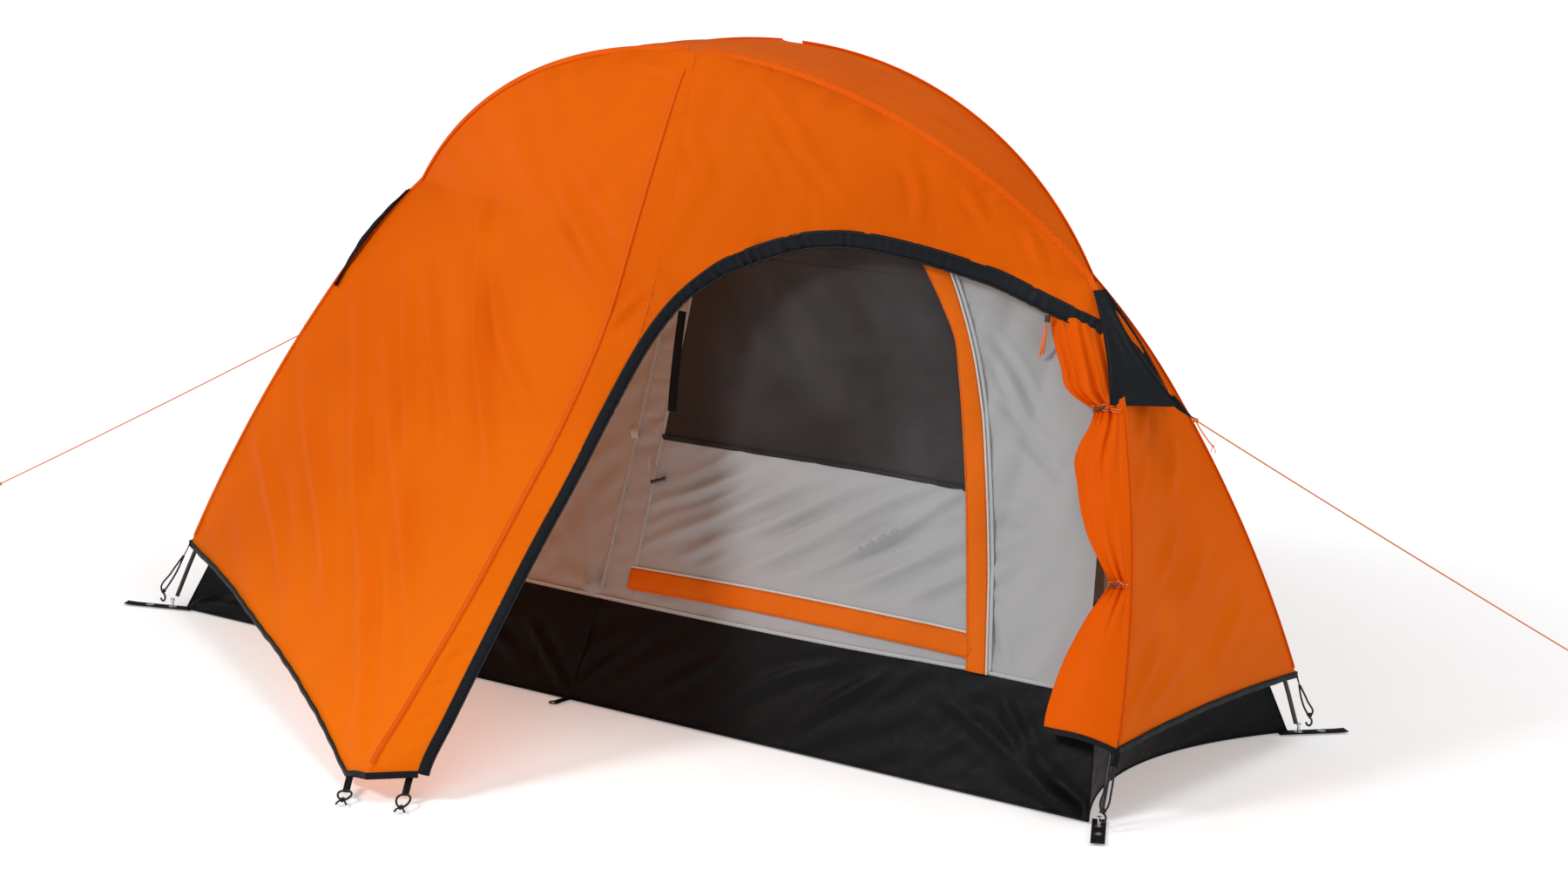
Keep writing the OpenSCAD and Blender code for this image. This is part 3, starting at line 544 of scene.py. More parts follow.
def cloth(name, light, dark, rough, crumple, pitch=0.0009, glow=None, through_share=0.0, holes=0.0,
          specular=0.4):
    """Woven cloth: drifting colour, a weave and fine crumples, and the share of light that shines through."""
    material, tree, base, place, flat = new_material(name)
    base.inputs["Specular IOR Level"].default_value = specular
    drive(tree, noise(tree, place, 3.2, 4, 0.55, 0.3), base.inputs["Base Color"], dark, light)
    drive(tree, noise(tree, place, 60, 3, 0.6), base.inputs["Roughness"], rough - 0.05, rough + 0.06)
    bumps = [
        (noise(tree, place, 7.5, 4, 0.5, 0.9), crumple, 0.012),
        (noise(tree, place, 26, 3, 0.5, 0.5, "RIDGED_MULTIFRACTAL"), crumple * 0.35, 0.002),
        (weave(tree, flat, pitch), 0.18, 0.0003),
    ]
    tree.links.new(bump_chain(tree, bumps), base.inputs["Normal"])
    shader = base.outputs[0]
    if through_share:
        glass = tree.nodes.new("ShaderNodeBsdfTranslucent")
        glass.inputs["Color"].default_value = (*(glow or light), 1)
        shader = blend_shaders(tree, shader, glass.outputs[0], through_share)
    if holes:
        gap = tree.nodes.new("ShaderNodeBsdfTransparent")
        shader = blend_shaders(tree, shader, gap.outputs[0], holes)
    show(tree, shader)
    return material


def blend_shaders(tree, first, second, share):
    m = tree.nodes.new("ShaderNodeMixShader")
    m.inputs["Fac"].default_value = share
    tree.links.new(first, m.inputs[1])
    tree.links.new(second, m.inputs[2])
    return m.outputs[0]


def hard(name, light, dark, rough, metal=0.0, scale=40.0, bump=0.08, coat=0.0):
    """Metal, plastic or wood: fine variation of colour and roughness, and small wear bumps."""
    material, tree, base, place, _ = new_material(name)
    base.inputs["Metallic"].default_value = metal
    base.inputs["Coat Weight"].default_value = coat
    drive(tree, noise(tree, place, scale, 4), base.inputs["Base Color"], dark, light)
    worn = noise(tree, place, scale * 3, 4)
    drive(tree, worn, base.inputs["Roughness"], rough - 0.08, rough + 0.1, (0.3, 0.75))
    wear = bump_chain(tree, [(noise(tree, place, scale * 5, 3), bump, 0.0006)])
    tree.links.new(wear, base.inputs["Normal"])
    show(tree, base.outputs[0])
    return material


def twisted(name, light, dark, pitch):
    """Braided cord: slanted strands along its length."""
    material, tree, base, place, flat = new_material(name)
    base.inputs["Specular IOR Level"].default_value = 0.3
    strands = wave(tree, place, pitch, "DIAGONAL")
    drive(tree, strands, base.inputs["Base Color"], dark, light, (0.2, 0.7))
    drive(tree, noise(tree, place, 300, 3), base.inputs["Roughness"], 0.55, 0.7)
    relief = [(strands, 0.4, 0.0006), (weave(tree, flat, 0.0012), 0.2, 0.0003)]
    tree.links.new(bump_chain(tree, relief), base.inputs["Normal"])
    show(tree, base.outputs[0])
    return material


orange = cloth("fly_orange", (0.97, 0.158, 0.001), (0.9, 0.132, 0.0005), 0.56, crumple=0.1,
               glow=(0.95, 0.34, 0.005), through_share=0.34, specular=0.06)
# Zip covers: the fly's orange made darker, as painted shade for the shade of the fly they lie in.
orange_flap_painted_shade = cloth("flap_orange_painted_shade", (0.72, 0.138, 0.006), (0.64, 0.112, 0.004), 0.6, crumple=0.12,
                    specular=0.06)
grey = cloth("inner_grey", (0.50, 0.505, 0.51), (0.45, 0.455, 0.46), 0.55, crumple=0.12,
             glow=(0.5, 0.5, 0.5), through_share=0.25, specular=0.25)
netting = cloth("mesh_black", (0.062, 0.060, 0.064), (0.015, 0.014, 0.014), 0.8, pitch=0.0016, crumple=0.15,
                holes=0.14, specular=0.12)
floor_black = cloth("floor_black", (0.0046, 0.005, 0.006), (0.0028, 0.003, 0.0036), 0.5, crumple=0.1,
                    specular=0.1)
trim_black = cloth("trim_black", (0.0095, 0.0112, 0.0145), (0.0058, 0.007, 0.009), 0.55, pitch=0.0011,
                   crumple=0.2, specular=0.12)
webbing = cloth("webbing_black", (0.008, 0.008, 0.009), (0.004, 0.004, 0.005), 0.7, pitch=0.0018, crumple=0.1,
                specular=0.12)
tape_grey = cloth("tape_grey", (0.47, 0.475, 0.48), (0.41, 0.415, 0.42), 0.5, crumple=0.2, specular=0.2)
white_cloth = cloth("piping_white", (0.62, 0.61, 0.58), (0.5, 0.49, 0.47), 0.65, crumple=0.2)
thread_orange = twisted("thread_orange", (0.75, 0.16, 0.02), (0.5, 0.09, 0.01), 0.002)
thread_grey = twisted("thread_grey", (0.5, 0.5, 0.5), (0.35, 0.35, 0.35), 0.002)
cord_orange = twisted("cord_orange", (0.86, 0.22, 0.06), (0.6, 0.11, 0.02), 0.003)
cord_white = twisted("cord_white", (0.66, 0.64, 0.6), (0.45, 0.44, 0.41), 0.003)
cord_black = twisted("cord_black", (0.02, 0.02, 0.022), (0.008, 0.008, 0.009), 0.003)
steel = hard("bright_steel", (0.72, 0.73, 0.74), (0.55, 0.56, 0.58), 0.28, 1.0, 60)
fibre = hard("pole_black", (0.016, 0.017, 0.019), (0.009, 0.0095, 0.011), 0.38, 0.0, 90, coat=0.3)
plastic = hard("plastic_black", (0.018, 0.018, 0.019), (0.009, 0.009, 0.01), 0.42)
wood = hard("toggle_brown", (0.12, 0.045, 0.018), (0.05, 0.018, 0.008), 0.5, 0.0, 120, bump=0.3, coat=0.2)


# ---------- Camera, stage and light ----------
CAMERA_PLACE = (4.0, -5.853, 1.909)
CAMERA_AHEAD = (-0.5404, 0.8173, -0.1998)
CAMERA_ROLL = math.radians(2.82)
CAMERA_LENS = 85.5
STAGE_REACH = 32
STAGE_POINTS = 13


def camera():
    data = bpy.data.cameras.new("camera")
    data.lens = CAMERA_LENS
    data.sensor_width = 36
    data.clip_end = 60
    obj = placed("camera", data)
    roll = Matrix.Rotation(CAMERA_ROLL, 4, "Z")
    turn = Vector(CAMERA_AHEAD).to_track_quat("-Z", "Y").to_matrix().to_4x4()
    obj.matrix_world = Matrix.Translation(CAMERA_PLACE) @ turn @ roll
    bpy.context.scene.camera = obj


def light(name, place, target, size, power):
    data = bpy.data.lights.new(name, "AREA")
    data.shape = "DISK"
    data.size = size
    data.energy = power
    obj = placed(name, data)
    obj.location = place
    obj.rotation_euler = (Vector(target) - Vector(place)).to_track_quat("-Z", "Y").to_euler()


def stage():
    world = bpy.data.worlds.new("studio")
    bpy.context.scene.world = world
    world.use_nodes = True
    sky = world.node_tree.nodes["Background"].inputs
    sky["Color"].default_value = (1, 1, 1, 1)
    sky["Strength"].default_value = 0.34
    line = np.linspace(-STAGE_REACH, STAGE_REACH, STAGE_POINTS)
    p = point(*np.meshgrid(line, line), -0.002)
    mesh = bpy.data.meshes.new("studio_floor")
    mesh.from_pydata(p.reshape(-1, 3).tolist(), [], quads(STAGE_POINTS, STAGE_POINTS).tolist())
    floor = placed("studio_floor", mesh)
    pale = hard("pale_floor", (0.9, 0.9, 0.9), (0.885, 0.885, 0.885), 0.7, 0.0, 2.0, bump=0.02)
    tree = pale.node_tree
    glow = tree.nodes["Principled BSDF"]
    glow.inputs["Emission Color"].default_value = (1, 1, 1, 1)
    away = tree.nodes.new("ShaderNodeVectorMath")
    away.operation = "LENGTH"
    tree.links.new(tree.nodes["Texture Coordinate"].outputs["Object"], away.inputs[0])
    fade = tree.nodes.new("ShaderNodeMapRange")
    for key, value in (("From Min", 1.3), ("From Max", 3.6), ("To Min", 0.3), ("To Max", 0.75)):
        fade.inputs[key].default_value = value
    tree.links.new(away.outputs["Value"], fade.inputs["Value"])
    tree.links.new(fade.outputs["Result"], glow.inputs["Emission Strength"])
    floor.data.materials.append(pale)
    bpy.context.scene.view_settings.view_transform = "Standard"
    light("key", (-2.4, -5.6, 4.6), (0, 0, 0.5), 1.9, 250)
    light("top", (0.9, 0.4, 5.2), (0, 0, 0.6), 2.6, 66)
    light("fill", (5.4, 0.9, 2.3), (0.5, 0, 0.5), 2.4, 46)


# ---------- Guy lines ----------
def knot(shape, centre, size, radius, turn, mark=0):
    """An overhand knot pulled tight."""
    t = np.linspace(0, 2 * math.pi, 44)
    loop = point(np.sin(t) + 2 * np.sin(2 * t), np.cos(t) - 2 * np.cos(2 * t), -1.6 * np.sin(3 * t)) / 3
    c, s = math.cos(turn), math.sin(turn)
    loop = loop @ np.array([[c, s, 0], [-s, c, 0], [0, 0, 1]])
    shape.tube(np.asarray(centre) + loop * size, radius, mark=mark)


def guy_knots(name, start, end):
    """A knot at each end of a guy line, and the frayed tail at the patch."""
    away = unit(end - start)
    knots = Shape()
    knot(knots, start - away * 0.004, 0.0042, 0.0016, 0.4)
    knot(knots, end + away * 0.004, 0.0042, 0.0016, 1.1)
    out = np.sign(start[0])
    hang = np.array([[0, 0, 0], [0.006, -0.006, -0.004], [0.018, -0.008, -0.017], [0.03, -0.007, -0.03],
                     [0.041, -0.005, -0.042]])
    tail = start - away * 0.003 + hang * [out, 1, 1]
    knots.tube(through(tail, 16), CORD_D / 2)
    split = tail[-1] + [0, 0, 0.004]
    for side in (-1, 1):
        frayed = [split, split + [0.003 * side, 0, -0.008], split + [0.005 * side, 0.001, -0.014]]
        knots.tube(through(frayed, 6), 0.0008, 6)
    return knots.piece(name + "_knots", "rainfly", "orange_cord", cord_orange)


def guy(name, start, end, node):
    """A taut guy line from the patch to the ground. Gives its knots."""
    start, end = np.array(start), np.array(end)
    t = np.linspace(0, 1, 25)[:, None]
    path = mix(start, end, t) - [0, 0, 0.004] * (4 * t * (1 - t))
    curve = bpy.data.curves.new(name, "CURVE")
    curve.dimensions = "3D"
    curve.bevel_depth = CORD_D / 2
    curve.bevel_resolution = 3
    line = curve.splines.new("POLY")
    line.points.add(len(path) - 1)
    for p, at in zip(line.points, path):
        p.co = (*at, 1)
    curve.materials.append(cord_orange)
    cord = placed(name, curve)
    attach(cord, "rainfly")
    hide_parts(node)
    ends = guy_knots(name, start, end)
    return ends


camera()
stage()
right_knots = guy("guy_line_right", (1.010, 0.002, 0.650), (1.475, 1.118, 0.008), "guy_cord_right")
guy("guy_line_left", (-0.986, 0.050, 0.590), (-2.128, 0.150, 0.008), "guy_cord_left")
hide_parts("guy_cord_knots")


# ---------- Rainfly ----------
STEP = 0.009


def count(length, step=STEP):
    return max(2, int(round(length / step)) + 1)


def surface(hand, points):
    """Path over a front face of the rainfly, from (u, z) pairs."""
    path = through(points, 12)
    return face(hand, path[:, 0], path[:, 1])


RIDGE = {(h, s): fly_line(np.linspace(arc_of(HEM_Z), HALF_LEN, 160), h, s) for h in (-1, 1) for s in (-1, 1)}
MIDDLE = seam(np.linspace(0.05, 1.222, 120))
EDGE = face(1, *door_edge(np.linspace(0, DOOR_EDGE[-1][0], 160)))

# Creases: points as (share of the way to the pole, height), width of the crest, and its height.
LEFT_CREASES = [
    ([(0.72, 0.93), (0.37, 0.64), (0.11, 0.45)], 0.013, 0.011),
    ([(0.77, 0.65), (0.38, 0.39), (0.02, 0.17)], 0.016, 0.010),
    ([(0.89, 0.66), (0.5, 0.36), (0.06, 0.06)], 0.017, 0.011), ([(0.72, 0.75), (0.29, 0.46)], 0.012, 0.008),
    ([(0.9, 0.48), (0.4, 0.19)], 0.018, 0.010), ([(0.45, 0.98), (0.02, 0.8)], 0.014, 0.006),
    ([(0.34, 0.99), (0.03, 0.89)], 0.012, 0.005), ([(0.35, 0.89), (0.01, 0.77)], 0.012, 0.006),
    ([(0.45, 1.19), (0.08, 1.19)], 0.01, 0.005), ([(0.71, 0.23), (0.58, 0.17)], 0.014, 0.006),
    ([(0.95, 0.36), (0.62, 0.2)], 0.016, 0.007), ([(0.62, 0.86), (0.3, 0.66), (0.05, 0.55)], 0.014, 0.007),
    ([(0.85, 0.78), (0.55, 0.55), (0.2, 0.28)], 0.015, 0.008),
    ([(0.6, 0.5), (0.25, 0.2), (0.1, 0.1)], 0.013, 0.006),
]
HEADER_CREASES = [
    ([(0.52, 1.19), (0.5, 1.08)], 0.014, 0.006), ([(0.09, 1.1), (0.18, 0.99)], 0.012, 0.005),
    ([(0.9, 1.03), (0.85, 0.95)], 0.01, 0.005), ([(0.81, 1.07), (0.68, 0.95)], 0.012, 0.006),
    ([(0.45, 1.15), (0.54, 0.95)], 0.013, 0.005), ([(0, 0.73), (0.06, 0.81)], 0.01, 0.006),
    ([(0.95, 0.96), (0.9, 0.88)], 0.01, 0.005), ([(0.3, 1.1), (0.36, 0.96)], 0.012, 0.004),
]


def front_height(hand, p):
    """Creases of a front face, at the points p."""
    creases = LEFT_CREASES if hand < 0 else HEADER_CREASES
    h = sum(crease(p, surface(hand, way), 0.85 * w, 1.35 * a) for way, w, a in creases)
    h = h + puckers(p, RIDGE[hand, -1], 0.02, 0.017, 0.0016, 11 + hand)
    h = h + puckers(p, MIDDLE, 0.016, 0.02, 0.0012, 21 + hand)
    if hand > 0:
        h = h + puckers(p, EDGE, 0.022, 0.018, 0.0026, 31)
        h = h + ripples(p, (0.2, 0, 1), 0.11, 0.0016, 41)
    else:
        h = h + ripples(p, (0.62, -0.2, -0.62), 0.12, 0.0028, 42)
    return h


def raised(p, h):
    return p + normals(p) * h[..., None]


def fly_panel(name, nodes, grids, heights):
    """One panel of the rainfly, from its smooth grids and the height of the creases on each."""
    shape = Shape()
    for p, h in zip(grids, heights):
        shape.grid(raised(p, h))
    sheet(shape.piece(name, "rainfly", "fly_cloth", orange, nodes), grids)


def front_left():
    s = np.linspace(0, 1, count(1.75))[:, None]
    u = np.linspace(0, 1, count(1.05))[None]
    low = spline(HEM, u)[..., 0] + HEM_W * 0.4
    z = np.interp(mix(arc_of(low), FLY_TOP, s), ARC, FLY_ZS)
    p = face(-1, u, z)[:, ::-1]
    h = front_height(-1, p) * pinned(p, 0.03)
    fly_panel("fly_front_left_cloth", ["fly_front_left"], [p], [h])


def front_right():
    """The strip beside the door and the panel above it, as one sheet."""
    z = np.interp(np.linspace(arc_of(0.043), FLY_TOP, count(1.8)), ARC, FLY_ZS)[:, None]
    k = np.interp(z, [e[2] for e in DOOR_EDGE[: HEADER_FROM + 1]], range(HEADER_FROM + 1))
    _, edge_u, edge_z = DOOR_EDGE[HEADER_FROM]
    edge = np.where(z < edge_z, door_edge(k)[0], edge_u)
    strip = face(1, edge * np.linspace(0, 1, 12)[None], z)
    k = np.linspace(HEADER_FROM, DOOR_EDGE[-1][0], count(0.95))[None]
    u, low = door_edge(k)
    t = np.linspace(0, 1, count(0.75))[:, None]
    header = face(1, u, np.interp(mix(arc_of(low), FLY_TOP, t), ARC, FLY_ZS))
    heights = [front_height(1, header) * pinned(header, 0.02, "rt"),
               front_height(1, strip) * pinned(strip, 0.02, "l")]
    fly_panel("fly_front_right_cloth", ["fly_front_strip", "fly_header"], [header, strip], heights)


# Creases of the roof: points as (x, y, z), and width of the crest.
ROOF_CREASES = [
    ([(-0.5, 0.02, 1.1), (0.1, -0.08, 1.22)], 0.011), ([(0.1, -0.06, 1.22), (0.62, -0.03, 1.0)], 0.012),
    ([(-0.2, 0.1, 1.2), (0.5, 0.04, 1.08)], 0.014), ([(0.3, 0.05, 1.17), (0.74, 0.0, 0.88)], 0.012),
]


def roof():
    s = np.linspace(arc_of(CROSS_Z), HALF_LEN, count(1.05) // 2 * 2)
    f = np.linspace(-1, 1, count(0.3))
    half = [fly_line(s, hand, side) for hand in (-1, 1) for side in (-1, 1)]
    front = np.concatenate([half[0], half[2][-2::-1]])
    rear = np.concatenate([half[1], half[3][-2::-1]])
    t = (f[:, None, None] + 1) / 2
    p = mix(front[None], rear[None], t)
    wide = np.linalg.norm(rear - front, axis=1)[None]
    crown = 0.02 * wide * (1 - f[:, None] ** 2)
    h = ripples(p, (1, 0.15, 0), 0.09, 0.0018, 51)
    for hand in (-1, 1):
        for side in (-1, 1):
            h = h + puckers(p, RIDGE[hand, side], 0.02, 0.018, 0.0016, 53 + hand + 4 * side)
    for way, w in ROOF_CREASES:
        h = h + crease(p, through(way, 8), w, 0.004)
    p = p + [0, 0, 1] * crown[..., None]
    fly_panel("fly_roof_cloth", ["fly_roof"], [p], [h * pinned(p, 0.02, "bt")])


def back():
    end = fly_side(HEM_Z, 1, 1)[0]
    x = np.linspace(end - 0.004, -end + 0.004, count(2.1))[None]
    t = np.linspace(0, 1, count(1.15))[:, None]
    p = fly_back(x, t)
    h = ripples(p, (0.1, 0, 1), 0.16, 0.004, 61) + puckers(p, RIDGE[1, 1], 0.02, 0.018, 0.0016, 62)
    h = h + puckers(p, RIDGE[-1, 1], 0.02, 0.018, 0.0016, 63)
    rng = np.random.default_rng(64)
    for corner in (1, -1):
        for _ in range(9):
            a = fly_back(corner * 1.0, 0.03)
            b = fly_back(corner * rng.uniform(0.1, 0.9), rng.uniform(0.25, 0.9))
            h = h + crease(p, [a, b], rng.uniform(0.012, 0.02), rng.uniform(0.004, 0.01), fan=True)
    h = h + crease(p, [fly_back(0, 0.0), fly_back(0.05, 0.6)], 0.03, 0.008, fan=True)
    fly_panel("fly_back_cloth", ["fly_back"], [p], [h * pinned(p, 0.03)])


# Creases of both ends: points as (place across from -1 to 1, height), and width of the crest.
END_CREASES = [
    ([(-0.35, 0.59), (-0.83, 0.52)], 0.010), ([(0, 0.46), (-0.54, 0.37)], 0.012),
    ([(-0.54, 0.28), (-0.99, 0.16)], 0.012), ([(-0.16, 0.24), (-0.73, 0.16)], 0.014),
    ([(0.44, 0.42), (-0.18, 0.32)], 0.016), ([(0.5, 0.62), (-0.1, 0.5)], 0.014),
    ([(0.7, 0.3), (0.1, 0.2)], 0.016), ([(0.1, 0.7), (-0.5, 0.6)], 0.012),
]


def end(hand):
    f = hand * np.linspace(-1, 1, count(0.66))[None]
    z = np.linspace(HEM_Z + HEM_W * 0.4, CROSS_Z - 0.01, count(0.72))[:, None]
    p = fly_end(hand, f, z)
    h = ripples(p, (0, 0.9, 0.35), 0.12, 0.0022, 71 + hand)
    for way, w in END_CREASES:
        path = through(way, 8)
        h = h + crease(p, fly_end(hand, path[:, 0], path[:, 1]), w, 0.007)
    rng = np.random.default_rng(75 + hand)
    for _ in range(7):
        low = fly_end(hand, rng.uniform(-0.9, 0.9), rng.uniform(0.25, 0.5))
        h = h + crease(p, [fly_end(hand, 0.0, 0.73), low], 0.011, rng.uniform(0.002, 0.005), fan=True)
    side = "left" if hand < 0 else "right"
    fly_panel(f"fly_{side}_end_cloth", [f"fly_{side}_end"], [p], [h * pinned(p, 0.025)])


for make in (front_left, front_right, roof, back):
    make()
for hand in (-1, 1):
    end(hand)


def ridge_tapes():
    """Flat-felled seams over the poles and down the middle of the front, each with two rows of stitches."""
    shape = Shape()
    for (hand, side), line in RIDGE.items():
        up = line[2:-2]
        outward = unit(point(hand * 0.55 * np.ones(len(up)), side * 0.75, 0.5))
        along = unit(np.gradient(up, axis=0))
        across = unit(np.cross(along, outward))
        shape.ribbon(up + outward * 0.001, across * 0.006, 0.0014)
        shape.twin_stitches(up + outward * 0.0018, across * 0.0042, outward)
    middle = MIDDLE[1:-3]
    outward = np.array([0, -0.85, 0.5])
    shape.ribbon(middle + outward * 0.0012, [0.005, 0, 0], 0.0012)
    shape.twin_stitches(middle + outward * 0.0019, [0.0034, 0, 0], outward)
    shape.piece("fly_seams", "rainfly", "fly_cloth", [orange, thread_orange])


ridge_tapes()


def binding():
    """Black binding round the lower edge of the rainfly, with a row of stitches."""
    shape = Shape()
    u = np.linspace(0, 1, 130)
    rear = fly_side(HEM_Z, 1, 1)
    short = u[:20] / u[19]
    runs = [face(-1, u, spline(HEM, u)[:, 0]), face(1, 0.068 * short, 0.036 + 0.006 * short)]
    for hand in (-1, 1):
        f = np.linspace(-1, 1, 80)
        runs.append(fly_end(hand, f, np.full(80, HEM_Z)))
    runs.append(fly_back(np.linspace(-rear[0], rear[0], 160), np.zeros(160)))
    rng = np.random.default_rng(81)
    for run in runs:
        a = np.linalg.norm(run - run[0], axis=1)
        wobble = 0.0012 * np.sin(a * 60 + rng.uniform(0, 6)) * np.sin(a * 23)
        out = unit(run * [1, 1, 0])
        mid = run + [0, 0, HEM_W / 2 - 0.001] + out * (wobble[:, None] + 0.0006)
        shape.ribbon(mid, [0, 0, HEM_W / 2], 0.0026)
        shape.stitches(mid + out * 0.0022 + [0, 0, 0.003], out, mark=1)
    shape.piece("fly_hem_binding", "rainfly", "black_trim", [trim_black, cord_black], ["hem_binding"])


binding()


def band():
    """Pleated black band round the door of the rainfly."""
    k = np.linspace(0, DOOR_EDGE[-1][0], 620)
    top = face(1, *door_edge(k))
    way = unit(np.gradient(top, axis=0))
    inward = unit(np.cross(way, [0.55, -0.83, 0.0]))
    wide = np.interp(k, [0, 6.5, 8, 14, 16.7], [0.02, 0.023, 0.031, 0.033, 0.03])
    t = np.linspace(-0.06, 1, 12)[:, None]
    a = np.concatenate([[0], np.cumsum(np.linalg.norm(np.diff(top, axis=0), axis=1))])
    rng = np.random.default_rng(91)
    spots = np.arange(0, a[-1] + 0.05, 0.019)
    drift = np.interp(a, spots, np.cumsum(rng.uniform(-1.9, 1.9, len(spots))))
    level = np.interp(a, spots, rng.uniform(0.0, 1, len(spots)) ** 1.6)
    level = level * np.interp(k, [0, 5, 6.5, 10, 12, 16.7], [0.25, 0.5, 1.1, 1, 0.5, 0.3])
    pleat = np.sin(2 * math.pi * a / 0.021 + drift + 1.1 * t * np.sin(a * 37)) * level
    fall = pleat * (0.0008 + 0.0052 * np.clip(t, 0, 1)) + 0.0035 * np.sin(math.pi * np.clip(t, 0, 1)) ** 0.7
    out = np.array([0.5, -0.86, 0.1])
    edge = 1 + 0.04 * np.sin(2 * math.pi * a / 0.021 + drift + 1.2) * level * (t > 0.9)
    p = top + inward * (t * edge * wide)[..., None] + out * (fall + 0.0005)[..., None]
    flat = top + inward * (t * wide)[..., None]
    shape = Shape().grid(p[::-1])
    for row, lift in ((0.05, 0.0016), (0.93, 0.005)):
        line = top + inward * (wide * row)[:, None] + out * lift
        shape.stitches(line, out, 0.005, 0.0005, mark=1)
    materials = [trim_black, cord_black]
    obj = shape.piece("fly_door_band", "rainfly", "black_trim", materials, ["door_band"], thick=0.0012)
    sheet(obj, [flat[::-1]])


band()

# Free edge of the zipped door where it is gathered to the leg: height to x, y.
GATHER_EDGE = [
    (0.128, 0.937, -0.352), (0.155, 0.934, -0.345), (0.207, 0.933, -0.32), (0.255, 0.938, -0.297),
    (0.302, 0.95, -0.276), (0.337, 0.961, -0.258), (0.369, 0.976, -0.244), (0.388, 0.984, -0.237),
    (0.418, 0.957, -0.221), (0.453, 0.921, -0.203), (0.5, 0.887, -0.18), (0.54, 0.867, -0.162),
    (0.58, 0.85, -0.146), (0.605, 0.851, -0.133), (0.649, 0.861, -0.112), (0.667, 0.855, -0.105),
    (0.676, 0.828, -0.103), (0.69, 0.802, -0.1), (0.723, 0.775, -0.081), (0.764, 0.744, -0.058),
    (0.814, 0.719, -0.041), (0.86, 0.7, -0.036),
]
NECKS = (0.388, 0.667)
NECK_REACH = ((0.05, 0.075), (0.085, 0.16))


def gather_top(t):
    return mix(0.858, 0.815, t)


def gather_point(t, z):
    """Gathered door: t runs from 0 at its free edge to 1 at the corner seam, below 0 behind the edge."""
    left = spline(GATHER_EDGE, z)
    left = point(left[..., 0], left[..., 1], z)
    right = fly_side(z, 1, -1) + [0.001, -0.001, 0]
    tight = sum(np.exp(-((z - n) / 0.024) ** 2) for n in NECKS)
    loose = 1 - np.clip(tight, 0, 1)
    ahead = np.clip(t, 0, 1)
    wide = np.linalg.norm(right - left, axis=-1)
    fold = np.zeros(np.broadcast(t, z).shape)
    for neck, (below, above) in zip(NECKS, NECK_REACH):
        gone = (z - neck) / np.where(z < neck, -below, above)
        level = np.exp(-gone ** 1.5)
        for waves, phase, share in ((2.6, 0.4 + neck, 0.5), (4.3, 2.0, 0.34), (7.4, 4.1 * neck, 0.2)):
            bend = phase + 1.4 * np.sin(waves + 11 * (z - neck)) * gone
            fold = fold + share * level * np.sin(2 * math.pi * waves * ahead + bend)
    ends = smooth(ahead / 0.08) * smooth((1 - ahead) / 0.14)
    puff = loose * (0.008 + 0.15 * wide) * np.sin(math.pi * ahead ** 0.8) ** 0.9
    puff = puff * np.where(z > NECKS[1], 0.6, 1)
    depth = puff + ends * fold * (0.004 + 0.0085 * smooth(wide / 0.14))
    under = smooth((gather_top(ahead) - z) / 0.035)
    behind = np.clip(-t, 0, 1)
    out = np.array([0.32, -0.947, 0])
    p = mix(left, right, (ahead + behind * 0.6)[..., None])
    lip = 0.005 * np.sin(np.clip((t + 0.05) / 0.1, 0, 1) * math.pi)
    tuck = 0.014 * smooth((ahead - 0.6) / 0.25) * smooth((z - 0.672) / 0.03)
    depth = mix(-0.006, depth + lip + 0.004 - tuck, under) - 0.016 * smooth(behind / 0.15)
    return p + out * depth[..., None]


def gathered_door():
    t = np.concatenate([np.linspace(-0.9, -0.02, 12), np.linspace(0, 1, 70)])[None]
    r = np.linspace(0, 1, count(0.72, 0.005))[:, None]
    ahead = np.clip(t, 0, 1)
    foot = 0.142 + 0.012 * np.sin(math.pi * ahead) - 0.014 * ahead
    p = gather_point(t, mix(foot, gather_top(ahead), r))
    shape = Shape().grid(p)
    obj = shape.piece("gathered_door_cloth", "rainfly", "fly_cloth", orange, ["gathered_door"], thick=0.0008)
    hem = Shape()
    line = p[0]
    hem.ribbon(line + [0, 0, -0.002], [0, 0, 0.005], 0.0024)
    rim = hem.piece("gathered_door_hem", "rainfly", "black_trim", trim_black)


gathered_door()


def toggle(shape, centre, along, length, radius):
    """Turned toggle: a barrel with a waist, where its cord sits, and rounded ends."""
    along = unit(np.array(along, float))
    t = np.linspace(-1, 1, 17)
    profile = radius * np.sqrt(np.clip(1 - t ** 8, 0.02, 1)) * (1 - 0.28 * np.exp(-(t / 0.14) ** 2))
    shape.tube(np.array(centre) + along * (t * length / 2)[:, None], profile, 14)


def gather_ties():
    cords, barrels = Shape(), Shape()
    for z in NECKS:
        rim = gather_point(np.linspace(-0.2, 0.92, 20), np.full(20, z))
        rim = rim + np.array([0.3, -0.95, 0]) * 0.0035
        cords.tube(rim, 0.0013)
        cords.tube(rim + [0, 0, 0.004], 0.0012)
        spot = gather_point(np.array([0.28]), np.array([z]))[0] + [0.002, -0.009, 0.002]
        toggle(barrels, spot, (0.8, -0.2, 0.35), 0.024, 0.0034)
        end_loop = [spot + [0.002, 0, 0.001], spot + [0.012, -0.004, 0.01], spot + [0.016, 0.004, 0.002]]
        cords.tube(through(end_loop, 8), 0.0012)
    cords.piece("gather_tie_cords", "rainfly", "orange_cord", cord_orange, ["gather_ties"])
    barrels.piece("gather_barrels", "rainfly", "toggle_wood", wood, ["gather_toggles"])


gather_ties()


PATCH_POINTS = 44
PATCH_TOP = (0.806, 0, 0.862)
# Drawn-out end, start of the guy line, corner height and sag of the ridge of each black patch.
PATCHES = {1: ((0.974, 0, 0.671), (1.010, 0.002, 0.650), 0.678, 0.012),
           -1: ((-0.954, 0.042, 0.628), (-0.986, 0.050, 0.590), 0.66, 0.004)}


